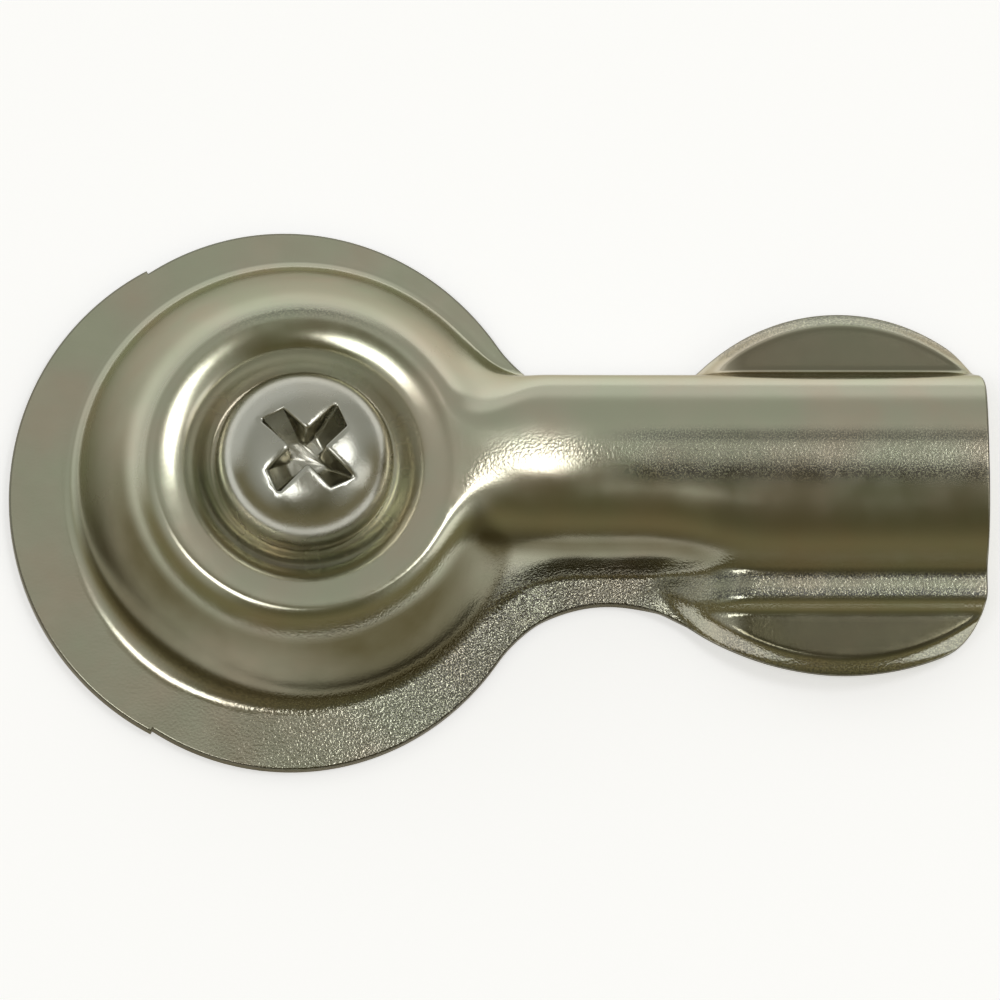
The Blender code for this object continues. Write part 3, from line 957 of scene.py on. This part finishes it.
@dataclass
class TurnButton:
    """The pressed button, one sheet with a boss, an arm and two ears."""

    form: PressedForm = field(default_factory=PressedForm)
    outline: BlankOutline = field(default_factory=BlankOutline)
    finish: ZincFinish = PLATE_ZINC
    spacing: float = 0.21 * MM
    station: float = 0.26 * MM
    sectors: int = 256
    ring_samples: int = 3000
    row_samples: int = 4000
    ring_overreach: float = 2.0 * MM
    edge_margin: float = 0.6
    lip: float = 0.1 * MM
    lip_steps: int = 3
    lip_cut: float = 0.5
    burr: float = 0.05 * MM
    burr_lean: float = 0.7
    burr_cut: float = 0.8
    rim_lines: int = 7
    rim_margin: float = 0.7
    normal_smoothing: int = 10
    root_margin: float = 0.8 * MM
    patch_centre: tuple[float, float] = (8.9 * MM, 5.1 * MM)
    patch_radius: float = 1.5 * MM
    patch_spacing: float = 0.08 * MM
    crest_y: float = 0.6 * MM
    crest_dip: float = 2.3 * MM
    crest_start: float = 6.4 * MM
    crest_length: float = 1.2 * MM

    def build(self) -> bpy.types.Object:
        """Build the button's mesh, its exact normals and its masks.

        Returns:
            The button.
        """
        edge = self.outline.points()
        edge_out = outward(edge)
        inner = edge - self.lip * edge_out
        hole_out = -unit_ring(self.sectors)[::-1]
        hole = -hole_out * (self.form.hole_radius + self.lip)
        flat = np.concatenate([inner, hole, self.inner_points(inner)])
        faces = triangulate(flat, [(0, len(inner)), (len(inner), len(hole))])
        round_hole = (faces >= len(inner)) & (faces < len(inner) + len(hole))
        faces = faces[~round_hole.all(axis=1)]
        skin = SheetMesh()
        normals = self.form.normal(flat[:, 0], flat[:, 1])
        top = np.column_stack([flat, self.form.height(flat[:, 0], flat[:, 1])])
        upper = skin.add(top, normals)
        under = self.smoothed(normals, faces)
        lower = skin.add(top - self.form.sheet * under, -under)
        skin.faces += [tuple(int(i) for i in face) for face in faces]
        skin.faces += [tuple(int(i) + len(flat) for i in face[::-1]) for face in faces]
        edge_ids = np.arange(len(inner))
        hole_ids = np.arange(len(inner), len(inner) + len(hole))
        self.close_edge(skin, inner, edge_out, upper[edge_ids], lower[edge_ids])
        self.close_edge(skin, hole, hole_out, upper[hole_ids], lower[hole_ids])
        return self.to_object(skin)

    def inner_points(self, inner: np.ndarray) -> np.ndarray:
        """Points inside the blank.

        Args:
            inner: The blank's edge, drawn in by the lip.

        Returns:
            The points.
        """
        margin = self.edge_margin * self.spacing
        points = np.concatenate([self.ring_points(), self.row_points()])
        away = np.hypot(*(points - self.patch_centre).T) > self.patch_radius + self.patch_spacing
        points = np.concatenate([points[away | self.on_arm(points)], self.patch_points()])
        points = points[clear_inside(points, inner, margin)]
        return np.concatenate([points, self.rim_points(inner, margin)])

    def ring_points(self) -> np.ndarray:
        """Points of the boss and flange, in rings that follow the boss's section.

        Returns:
            The points.
        """
        reach = self.outline.flange_half_width + self.outline.parting_proud + self.ring_overreach
        radii = np.linspace(self.form.hole_radius + self.lip, reach, self.ring_samples)
        radii = even_places(radii, np.maximum(self.form.boss(radii), 0.0), self.spacing)[1:]
        rings = (radii[:, None, None] * unit_ring(self.sectors)).reshape(-1, 2)
        return rings[~self.on_arm(rings)]

    def row_points(self) -> np.ndarray:
        """Points of the arm and ears, in rows that follow the section through the ears.

        Returns:
            The points.
        """
        form = self.form
        rows = np.linspace(-form.ear_radius, form.ear_radius, self.row_samples)
        rows = even_places(rows, form.height(np.full_like(rows, form.ear_x), rows), self.spacing)
        stations = np.arange(form.arm_reach - self.station, form.crest_radius, -self.station)
        grid = grid_points(stations, rows)
        return grid[self.on_arm(grid) & ~self.on_rim(grid)]

    def patch_points(self) -> np.ndarray:
        """Finer points at the foot of the arm's far root.

        Returns:
            The points.
        """
        steps = np.arange(-self.patch_radius, self.patch_radius, self.patch_spacing)
        patch = grid_points(steps, steps)
        patch = patch[np.hypot(patch[:, 0], patch[:, 1]) < self.patch_radius] + self.patch_centre
        return patch[~self.on_arm(patch)]

    def on_arm(self, points: np.ndarray) -> np.ndarray:
        """Which points the arm, the neck or the ears shape, and not the boss or flange.

        Args:
            points: Points in the plane.

        Returns:
            One truth value per point.
        """
        radius = np.hypot(points[:, 0], points[:, 1])
        beyond = points[:, 0] > self.outline.flange_half_length + self.outline.centre_x
        arm = self.form.arm_inside(points[:, 0], points[:, 1]) > self.form.boss_radius - radius
        crest = self.form.crest_radius
        clear = (points[:, 0] > crest) & (radius > crest + self.root_margin)
        return clear & (beyond | arm)

    def on_rim(self, points: np.ndarray) -> np.ndarray:
        """Which points lie on an ear's rolled rim.

        Args:
            points: Points in the plane.

        Returns:
            One truth value per point.
        """
        form = self.form
        beside = np.abs(points[:, 1] - form.arm_side) > form.arm_half_width + self.spacing
        rim = form.ear_inset(points[:, 0], points[:, 1]) < form.ear_rim_width + self.spacing
        return beside & rim & (points[:, 0] > form.ear_ramp_middle)

    def rim_points(self, inner: np.ndarray, margin: float) -> np.ndarray:
        """Lines of points along each ear's rolled rim.

        Args:
            inner: The blank's edge, drawn in by the lip.
            margin: Least distance from the edge.

        Returns:
            The points.
        """
        form = self.form
        start = inner[self.on_rim(inner)]
        rise = np.where(start[:, 1] > form.ear_mid_y, form.far_ear_arc_y, -form.ear_arc_y)
        centre = np.stack([np.full(len(start), form.ear_x), form.ear_mid_y + rise], axis=1)
        to_centre = centre - start
        to_centre /= np.linalg.norm(to_centre, axis=1, keepdims=True)
        depths = form.ear_rim_width * (np.arange(self.rim_lines) + 1.0) / (self.rim_lines - 0.5)
        lines = np.concatenate([start + depth * to_centre for depth in depths])
        beside = np.abs(lines[:, 1] - form.arm_side) > form.arm_half_width + self.spacing
        lines = lines[beside]
        return lines[clear_inside(lines, inner, min(margin, self.rim_margin * depths[0]))]

    def smoothed(self, normals: np.ndarray, faces: np.ndarray) -> np.ndarray:
        """Normals evened out over the sheet, along which its underside is set off.

        Args:
            normals: Normals of the top face.
            faces: Triangles of the top face.

        Returns:
            The evened normals.
        """
        even = normals.copy()
        for _ in range(self.normal_smoothing):
            total = even.copy()
            for i in range(3):
                np.add.at(total, faces[:, i], even[faces[:, (i + 1) % 3]] + even[faces[:, (i + 2) % 3]])
            even = total / np.linalg.norm(total, axis=1, keepdims=True)
        return even

    def close_edge(
        self, skin: SheetMesh, loop: np.ndarray, out: np.ndarray, upper: np.ndarray, lower: np.ndarray
    ) -> None:
        """Close a cut edge with a rounded lip, a sheared face and a small burr.

        Args:
            skin: The skin to add to.
            loop: Points of the drawn-in edge.
            out: Directions out of the sheet.
            upper: Numbers of the edge's points on the top face.
            lower: Numbers of the edge's points on the underside.
        """
        stages = []
        for i in range(1, self.lip_steps + 1):
            turn = math.pi / 2.0 * i / self.lip_steps
            up, side = math.cos(turn), math.sin(turn)
            cut = self.lip_cut + (1.0 - self.lip_cut) * i / self.lip_steps
            stages.append((self.lip * side, self.lip * (1.0 - up), up, side, cut))
        stages.append((self.lip, self.form.sheet - self.burr, 0.0, 1.0, 1.0))
        lean = self.burr_lean
        stages.append((self.lip - self.burr, self.form.sheet, -lean, lean, self.burr_cut))
        last = upper
        for reach, drop, up, side, cut in stages:
            flat = loop + reach * out
            normal = self.form.normal(flat[:, 0], flat[:, 1])
            level = np.column_stack([out, np.zeros(len(out))])
            level -= normal * (level * normal).sum(axis=1, keepdims=True)
            level /= np.linalg.norm(level, axis=1, keepdims=True)
            places = np.column_stack([flat, self.form.height(flat[:, 0], flat[:, 1])]) - drop * normal
            ring = skin.add(places, up * normal + side * level, cut)
            skin.strip(last, ring)
            last = ring
        skin.strip(last, lower)

    def measures(self, points: np.ndarray) -> dict[Measure, np.ndarray]:
        """Measures that the press marks are placed by, in millimetres and degrees.

        Args:
            points: Places on the sheet.

        Returns:
            The places' measures.
        """
        form = self.form
        x, y = points[:, 0], points[:, 1]
        radius = np.hypot(x, y)
        past_boss = radius - form.boss_radius
        dip = self.crest_dip * np.exp(-np.maximum(x - self.crest_start, 0.0) / self.crest_length)
        lengths = {
            Measure.X: x,
            Measure.Y: y,
            Measure.RADIUS: radius,
            Measure.PAST_BOSS: past_boss,
            Measure.PAST_FOOT: y - form.arm_side + form.arm_half_width,
            Measure.UP_WALL: y - form.arm_side + form.near_half_width(x),
            Measure.BESIDE: np.abs(y - form.arm_side),
            Measure.INTO_ARM: form.arm_inside(x, y) + past_boss,
            Measure.OFF_CREST: y - self.crest_y + dip,
            Measure.INSET: form.ear_inset(x, y),
        }
        measures = {measure: length / MM for measure, length in lengths.items()}
        measures[Measure.TURN] = np.degrees(np.arctan2(y, x))
        return measures

    def masks(self, points: np.ndarray) -> dict[Mask, np.ndarray]:
        """Masks of the marks that the press left and of the painted shade.

        Args:
            points: Places on the sheet.

        Returns:
            Shares from 0 to 1 for the pitted skin, the painted shade, the speckled wear with its painted
            shade lines and the matte patch.
        """
        measures = self.measures(points)
        masks: dict[Mask, np.ndarray] = {}
        for mark in PRESS_AND_SHADE_MARKS:
            masks[mark.mask] = masks.get(mark.mask, 0.0) + mark.share(measures)
        return {mask: np.clip(share, 0.0, 1.0) for mask, share in masks.items()}

    def to_object(self, skin: SheetMesh) -> bpy.types.Object:
        """Turn the collected skin into an object with its normals and masks.

        Args:
            skin: The collected skin.

        Returns:
            The button.
        """
        points = np.concatenate(skin.points)
        mesh = bpy.data.meshes.new("turn_button_pressing")
        mesh.from_pydata(points.tolist(), [], skin.faces)
        mesh.shade_smooth()
        masks = self.masks(points)
        masks[Mask.CUT] = np.concatenate(skin.cut)
        for mask, values in masks.items():
            layer = mesh.attributes.new(mask.value, "FLOAT", "POINT")
            layer.data.foreach_set("value", values.astype(np.float32))
        mesh.normals_split_custom_set_from_vertices(np.concatenate(skin.normals).tolist())
        button = bpy.data.objects.new("turn_button_pressing", mesh)
        bpy.context.scene.collection.objects.link(button)
        return button

    def dress(self, button: bpy.types.Object) -> None:
        """Give the button its finish and put it on its body.

        Args:
            button: The button.
        """
        button.data.materials.append(zinc_material(self.finish))
        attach(button, "button")
        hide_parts("turn_button")


@dataclass
class PivotScrew:
    """The pan-head wood screw that the button turns on."""

    finish: ZincFinish = SCREW_ZINC
    head_radius: float = 3.77 * MM
    head_height: float = 2.98 * MM
    head_roundness: float = 2.7
    head_edge: float = 0.14 * MM
    under_head: float = 4.2 * MM
    shank_radius: float = 2.1 * MM
    shank_fillet: float = 0.3 * MM
    core_radius: float = 1.5 * MM
    thread_top: float = -1.5 * MM
    thread_runout: float = 1.4 * MM
    thread_pitch: float = 1.4 * MM
    thread_bottom: float = -12.0 * MM
    point_length: float = 2.8 * MM
    tooth_share: float = 0.62
    recess_half_span: float = 2.2 * MM
    recess_half_width: float = 0.5 * MM
    recess_depth: float = 1.9 * MM
    recess_floor_span: float = 0.45
    recess_floor_width: float = 0.72
    recess_lip: float = 0.09 * MM
    recess_corner: float = 0.16 * MM
    recess_corner_share: float = 0.45
    recess_corner_points: int = 6
    recess_side_points: int = 9
    recess_clear: float = 0.12 * MM
    recess_lip_steps: tuple[tuple[float, float], ...] = ((0.5, 0.3), (0.1, 0.75), (0.0, 1.2))
    recess_wall_steps: tuple[float, ...] = (0.35, 0.7, 0.96, 1.0)
    recess_floor_round: float = 0.06 * MM
    recess_turn: float = math.radians(45.0)
    round_points: int = 5
    plain_start: float = 0.5 * MM
    plain_rings: int = 8
    crest_cut: float = 0.85
    crest_fade: float = 0.9
    tip_radius: float = 0.02 * MM
    sectors: int = 96
    pitch_rows: int = 14
    head_rings: int = 26
    weld: float = 1e-7
    least_edge: float = 1e-8
    sharp_angle: float = math.radians(38.0)

    def build(self) -> bpy.types.Object:
        """Build the screw's mesh.

        Returns:
            The screw.
        """
        shape = bmesh.new()
        rim = self.add_head(shape)
        last = self.add_shank(shape, rim)
        self.add_thread(shape, last)
        bmesh.ops.remove_doubles(shape, verts=shape.verts, dist=self.weld)
        bmesh.ops.dissolve_degenerate(shape, edges=shape.edges, dist=self.least_edge)
        bmesh.ops.recalc_face_normals(shape, faces=shape.faces)
        mesh = bpy.data.meshes.new("pivot_screw_turned")
        shape.to_mesh(mesh)
        shape.free()
        mesh.shade_smooth()
        mesh.set_sharp_from_angle(angle=self.sharp_angle)
        screw = bpy.data.objects.new("pivot_screw_turned", mesh)
        bpy.context.scene.collection.objects.link(screw)
        return screw

    def head_top(self, radius: np.ndarray) -> np.ndarray:
        """Height of the head's domed top at distances from the axis.

        Args:
            radius: The distances.

        Returns:
            Heights in the part's frame.
        """
        power = self.head_roundness
        share = np.clip(radius / self.head_radius, 0.0, 1.0)
        rise = self.head_height - self.head_edge
        return self.under_head + self.head_edge + rise * (1.0 - share**power) ** (1.0 / power)

    def recess_loop(self, half_span: float, half_width: float) -> np.ndarray:
        """Outline of the cross recess with rounded wing ends and inner corners.

        Args:
            half_span: Half the length of a wing.
            half_width: Half the width of a wing.

        Returns:
            Points of the outline, anticlockwise.
        """
        corner = min(self.recess_corner, self.recess_corner_share * half_width)
        turns = np.linspace(0.0, math.pi / 2.0, self.recess_corner_points)
        tip = np.array([half_span - corner, half_width - corner])
        out = tip + corner * np.stack([np.cos(turns), np.sin(turns)], axis=1)
        crook = np.array([half_width + corner, half_width + corner])
        inner = crook - corner * np.stack([np.sin(turns), np.cos(turns)], axis=1)
        end = np.array([half_width, half_span - corner])
        along = np.linspace(out[-1], inner[0], self.recess_side_points)[1:-1]
        back = np.linspace(inner[-1], end, self.recess_side_points)[1:-1]
        wing = np.concatenate([out, along, inner, back])
        wings = np.concatenate([rotated(wing, i * math.pi / 2.0) for i in range(4)])
        return rotated(wings, self.recess_turn)

    def ring(self, radius: float) -> np.ndarray:
        """Points of a ring about the axis."""
        return radius * unit_ring(self.sectors)

    def add_head(self, shape: bmesh.types.BMesh) -> list[bmesh.types.BMVert]:
        """Add the domed head with its cross recess.

        Args:
            shape: The mesh to add to.

        Returns:
            The ring at the head's widest place.
        """
        turns = np.linspace(0.0, math.pi / 2.0, self.head_rings)
        radii = self.head_radius * np.cos(turns) ** (2.0 / self.head_roundness)
        lip = self.recess_lip
        loop = self.recess_loop(self.recess_half_span + lip, self.recess_half_width + lip)
        rings = np.concatenate([self.ring(radius) for radius in radii[1:-1]])
        outside = ~clear_inside(rings, loop, 0.0)
        gaps = np.hypot(*(rings[:, None] - loop[None]).transpose(2, 0, 1)).min(axis=1)
        rings = rings[outside & (gaps > self.recess_clear)]
        flat = np.concatenate([self.ring(radii[0]), loop[::-1], rings])
        faces = triangulate(flat, [(0, self.sectors), (self.sectors, len(loop))])
        middle = flat[faces].mean(axis=1)
        faces = faces[~clear_inside(middle, loop, 0.0)]
        heights = self.head_top(np.hypot(flat[:, 0], flat[:, 1]))
        verts = [shape.verts.new((*point, z)) for point, z in zip(flat, heights)]
        for face in faces:
            shape.faces.new([verts[i] for i in face])
        self.add_recess(shape, verts[self.sectors : self.sectors + len(loop)][::-1])
        return verts[: self.sectors]

    def add_recess(self, shape: bmesh.types.BMesh, rim: list[bmesh.types.BMVert]) -> None:
        """Add the walls and floor of the cross recess below its rim.

        Args:
            shape: The mesh to add to.
            rim: Points of the recess's rounded edge.
        """
        floor = float(self.head_top(np.array(0.0))) - self.recess_depth
        lip = self.recess_lip
        levels = [(lip * spread, lip * drop, 0.0) for spread, drop in self.recess_lip_steps]
        levels += [(0.0, levels[-1][1], depth) for depth in self.recess_wall_steps]
        last = rim
        for spread, drop, depth in levels:
            span = self.recess_half_span * (1.0 + (self.recess_floor_span - 1.0) * depth) + spread
            width = self.recess_half_width * (1.0 + (self.recess_floor_width - 1.0) * depth) + spread
            shrink = self.recess_floor_round if depth == 1.0 else 0.0
            loop = self.recess_loop(span - shrink, width - shrink)
            start = self.head_top(np.hypot(loop[:, 0], loop[:, 1])) - drop
            heights = start + (floor - start) * depth
            ring = [shape.verts.new((*point, z)) for point, z in zip(loop, heights)]
            self.band(shape, last, ring)
            last = ring
        shape.faces.new(last)

    def band(
        self, shape: bmesh.types.BMesh, upper: list[bmesh.types.BMVert], lower: list[bmesh.types.BMVert]
    ) -> None:
        """Join two rings of points by a band of faces.

        Args:
            shape: The mesh to add to.
            upper: The upper ring.
            lower: The lower ring, with as many points.
        """
        count = len(upper)
        for i in range(count):
            shape.faces.new((upper[i], lower[i], lower[(i + 1) % count], upper[(i + 1) % count]))

    def add_shank(
        self, shape: bmesh.types.BMesh, rim: list[bmesh.types.BMVert]
    ) -> list[bmesh.types.BMVert]:
        """Add the head's underside, the fillet and the plain shank.

        Args:
            shape: The mesh to add to.
            rim: The ring at the head's widest place.

        Returns:
            The ring where the thread begins.
        """
        turns = np.linspace(0.0, math.pi / 2.0, self.round_points)
        level, steep = 1.0 - np.cos(turns), 1.0 - np.sin(turns)
        edge_radii = self.head_radius - self.head_edge * level[1:]
        edge_heights = self.under_head + self.head_edge * steep[1:]
        fillet_radii = self.shank_radius + self.shank_fillet * steep
        fillet_heights = self.under_head - self.shank_fillet * level
        plain = np.linspace(self.under_head - self.plain_start, self.thread_top, self.plain_rings)
        profile = [*zip(edge_radii, edge_heights), *zip(fillet_radii, fillet_heights)]
        profile += [(self.shank_radius, z) for z in plain]
        last = rim
        for radius, z in profile:
            ring = [shape.verts.new((*point, z)) for point in self.ring(radius)]
            self.band(shape, last, ring)
            last = ring
        return last

    def add_thread(self, shape: bmesh.types.BMesh, start: list[bmesh.types.BMVert]) -> None:
        """Add the helical thread down to the point, in rows that follow the helix.

        Args:
            shape: The mesh to add to.
            start: The ring where the thread begins.
        """
        tip = self.thread_bottom - self.point_length
        pitch = self.thread_pitch
        drop = pitch / self.pitch_rows
        rows = math.ceil((self.thread_top - tip + 2.0 * pitch) / drop)
        row, column = np.meshgrid(np.arange(rows + 1), np.arange(self.sectors), indexing="ij")
        turn = column / self.sectors
        z = np.clip(self.thread_top + pitch - drop * row - pitch * turn, tip, self.thread_top)
        phase = (row % self.pitch_rows) / self.pitch_rows
        tooth = np.clip(1.0 - np.abs(phase - 0.5) / (self.tooth_share / 2.0), 0.0, 1.0)
        tooth = smooth_step(tooth * self.crest_cut) / smooth_step(self.crest_cut)
        below = (self.thread_top - z) / self.thread_runout
        core = self.shank_radius + (self.core_radius - self.shank_radius) * smooth_step(below)
        cone = np.clip((z - tip) / self.point_length, 0.0, 1.0)
        core = np.minimum(core, self.core_radius * cone + self.shank_radius * (cone >= 1.0))
        fade = smooth_step((z - tip) / (self.crest_fade * self.point_length))
        crest = (self.shank_radius - core) * fade * tooth * smooth_step(below)
        radius = np.maximum(core + crest, self.tip_radius)
        x, y = radius * np.cos(math.tau * turn), radius * np.sin(math.tau * turn)
        verts = np.empty((rows + 1, self.sectors), dtype=object)
        for i, j in np.ndindex(rows + 1, self.sectors):
            verts[i, j] = shape.verts.new((x[i, j], y[i, j], z[i, j]))
        self.band(shape, start, list(verts[0]))
        for i, j in np.ndindex(rows, self.sectors):
            after, jump = (j + 1, 0) if j + 1 < self.sectors else (0, self.pitch_rows)
            if i + 1 + jump <= rows:
                left, right = verts[i : i + 2, j], verts[i + jump : i + jump + 2, after]
                shape.faces.new((left[0], left[1], right[1], right[0]))
        shape.faces.new(list(verts[rows]))

    def dress(self, screw: bpy.types.Object) -> None:
        """Give the screw its finish and put it on its body.

        Args:
            screw: The screw.
        """
        screw.data.materials.append(zinc_material(self.finish))
        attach(screw, "screw")
        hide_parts("pivot_screw")


@dataclass
class PhotoCamera:
    """Camera at the photograph's angle, looking down on the button."""

    distance: float = 0.5
    lens: float = 424.8
    sensor: float = 36.0
    tilt: float = math.radians(14.0)
    lean: float = math.radians(4.0)
    aim: tuple[float, float, float] = (8.4 * MM, 0.0, 0.6 * MM)
    aim_right: float = 0.097 * MM
    aim_up: float = -0.654 * MM
    nearest: float = 0.01
    farthest: float = 50.0

    def place(self) -> bpy.types.Object:
        """Add the camera and make it the scene's.

        Returns:
            The camera.
        """
        back = Vector((-math.tan(self.lean), -math.tan(self.tilt), 1.0)).normalized()
        right = Vector((1.0, 0.0, 0.0))
        right = (right - back * right.dot(back)).normalized()
        up = back.cross(right)
        spot = Vector(self.aim) + self.aim_right * right + self.aim_up * up + self.distance * back
        data = bpy.data.cameras.new("photo_camera")
        data.lens = self.lens
        data.sensor_width = self.sensor
        data.clip_start = self.nearest
        data.clip_end = self.farthest
        camera = bpy.data.objects.new("photo_camera", data)
        camera.matrix_world = Matrix.Translation(spot) @ Matrix((right, up, back)).transposed().to_4x4()
        bpy.context.scene.collection.objects.link(camera)
        bpy.context.scene.camera = camera
        return camera


@dataclass(frozen=True)
class LightPanel:
    """A soft light panel, aimed at the button. Its two angles are in degrees."""

    name: str
    azimuth: float
    from_zenith: float
    width: float
    height: float
    radiance: float
    distance: float = 0.8

    def place(self, aim: Vector) -> bpy.types.Object:
        """Add the panel.

        Args:
            aim: Point that the panel faces.

        Returns:
            The panel.
        """
        turn, down = math.radians(self.azimuth), math.radians(self.from_zenith)
        flat = math.sin(down)
        toward = Vector((math.cos(turn) * flat, math.sin(turn) * flat, math.cos(down)))
        data = bpy.data.lights.new(self.name, "AREA")
        data.shape = "RECTANGLE"
        data.size = self.width
        data.size_y = self.height
        data.energy = self.radiance * math.pi * self.width * self.height
        panel = bpy.data.objects.new(self.name, data)
        panel.location = aim + toward * self.distance
        panel.rotation_euler = toward.to_track_quat("Z", "Y").to_euler()
        bpy.context.scene.collection.objects.link(panel)
        return panel


@dataclass
class Studio:
    """Pale floor, soft panels and a room that is lighter behind the button than in front of it."""

    floor_size: float = 3.0
    floor_drop: float = 0.03 * MM
    floor_colour: Colour = (0.86, 0.865, 0.89)
    floor_glow: float = 0.51
    front: Colour = (0.112, 0.1, 0.052)
    back: Colour = (0.4, 0.4, 0.363)
    horizon: Colour = (0.66, 0.66, 0.63)
    bench: Colour = (0.205, 0.178, 0.1)
    gap_x: float = 0.07
    gap_y: float = 0.26
    gap_margin: float = 0.13
    gap_spread: float = 0.42
    gap_edge: Range = (0.6, 1.4)
    back_edge: Range = (0.12, 0.25)
    horizon_slant: float = 0.6
    horizon_side: Range = (0.45, 0.8)
    horizon_height: Range = (0.68, 0.42)
    bench_side: Range = (0.5, 0.1)
    bench_height: Range = (0.85, 0.35)
    panel_aim: tuple[float, float, float] = (8.0 * MM, 0.0, 2.0 * MM)
    panels: tuple[LightPanel, ...] = (
        LightPanel("side_panel", 22.0, 23.0, 0.17, 0.25, 4.8),
        LightPanel("side_low_panel", -9.0, 52.0, 0.26, 0.4, 0.8),
        LightPanel("front_panel", -140.0, 18.0, 0.3, 0.22, 3.4),
    )

    def build(self) -> None:
        """Add the floor, the room and the panels."""
        self.add_floor()
        self.add_room()
        for panel in self.panels:
            panel.place(Vector(self.panel_aim))

    def add_floor(self) -> bpy.types.Object:
        """Add the pale floor.

        Returns:
            The floor.
        """
        half = self.floor_size / 2.0
        corners = [(-half, -half), (half, -half), (half, half), (-half, half)]
        mesh = bpy.data.meshes.new("floor")
        mesh.from_pydata([(x, y, -self.floor_drop) for x, y in corners], [], [(0, 1, 2, 3)])
        floor = bpy.data.objects.new("floor", mesh)
        bpy.context.scene.collection.objects.link(floor)
        mesh.materials.append(self.floor_material())
        return floor

    def floor_material(self) -> bpy.types.Material:
        """White floor that keeps the shadow, for the camera and for what mirrors it.

        Returns:
            The material.
        """
        material = bpy.data.materials.new("pale_floor")
        graph = NodeGraph(material)
        graph.tree.nodes.clear()
        path = graph.node("ShaderNodeLightPath").outputs
        seen = path["Is Camera Ray"]
        for ray in ("Is Glossy Ray", "Is Transmission Ray"):
            seen = graph.calculate("MAXIMUM", seen, path[ray])
        strength = graph.product(seen, self.floor_glow)
        glow = graph.node("ShaderNodeEmission", {"Strength": strength}).outputs[0]
        diffuse = graph.node("ShaderNodeBsdfDiffuse", {"Color": self.floor_colour}).outputs[0]
        both = graph.node("ShaderNodeAddShader", {0: diffuse, 1: glow}).outputs[0]
        graph.node("ShaderNodeOutputMaterial", {"Surface": both})
        return material

    def add_room(self) -> None:
        """Light the room: dim in a gap in front, light behind, palest at the horizon, with a dim bench."""
        world = bpy.data.worlds.new("room")
        graph = NodeGraph(world)
        place = graph.node("ShaderNodeTexCoord").outputs["Generated"]
        x, y, z = graph.node("ShaderNodeSeparateXYZ", {0: place}).outputs
        ahead = graph.calculate("MAXIMUM", graph.calculate("SUBTRACT", self.gap_y, y), 0.0)
        width = graph.calculate("ADD", graph.product(ahead, self.gap_spread), self.gap_margin)
        aside = graph.calculate("ABSOLUTE", graph.calculate("SUBTRACT", x, self.gap_x), 0.0)
        beside = graph.ease(graph.calculate("DIVIDE", aside, width), self.gap_edge)
        lit = graph.calculate("MAXIMUM", beside, graph.ease(y, self.back_edge))
        slanted = graph.calculate("SUBTRACT", y, graph.product(x, self.horizon_slant))
        far = graph.product(graph.ease(slanted, self.horizon_side), graph.ease(z, self.horizon_height))
        low = graph.product(graph.ease(z, self.bench_height), graph.ease(y, self.bench_side))
        walls = graph.mix(lit, self.front, self.back)
        walls = graph.mix(low, walls, self.bench)
        walls = graph.mix(far, walls, self.horizon)
        graph.feed(graph.tree.nodes["Background"].inputs["Color"], walls)
        bpy.context.scene.world = world


def main() -> None:
    """Build the button, its screw, the studio and the camera."""
    logging.basicConfig(level=logging.INFO, format="%(name)s: %(message)s")
    bpy.context.scene.view_settings.view_transform = "Standard"
    for assembly in (TurnButton(), PivotScrew()):
        piece = assembly.build()
        assembly.dress(piece)
        LOG.info("%s: %d points, %d faces", piece.name, len(piece.data.vertices), len(piece.data.polygons))
    Studio().build()
    camera = PhotoCamera().place()
    LOG.info("%s placed", camera.name)


if __name__ == "__main__":
    main()
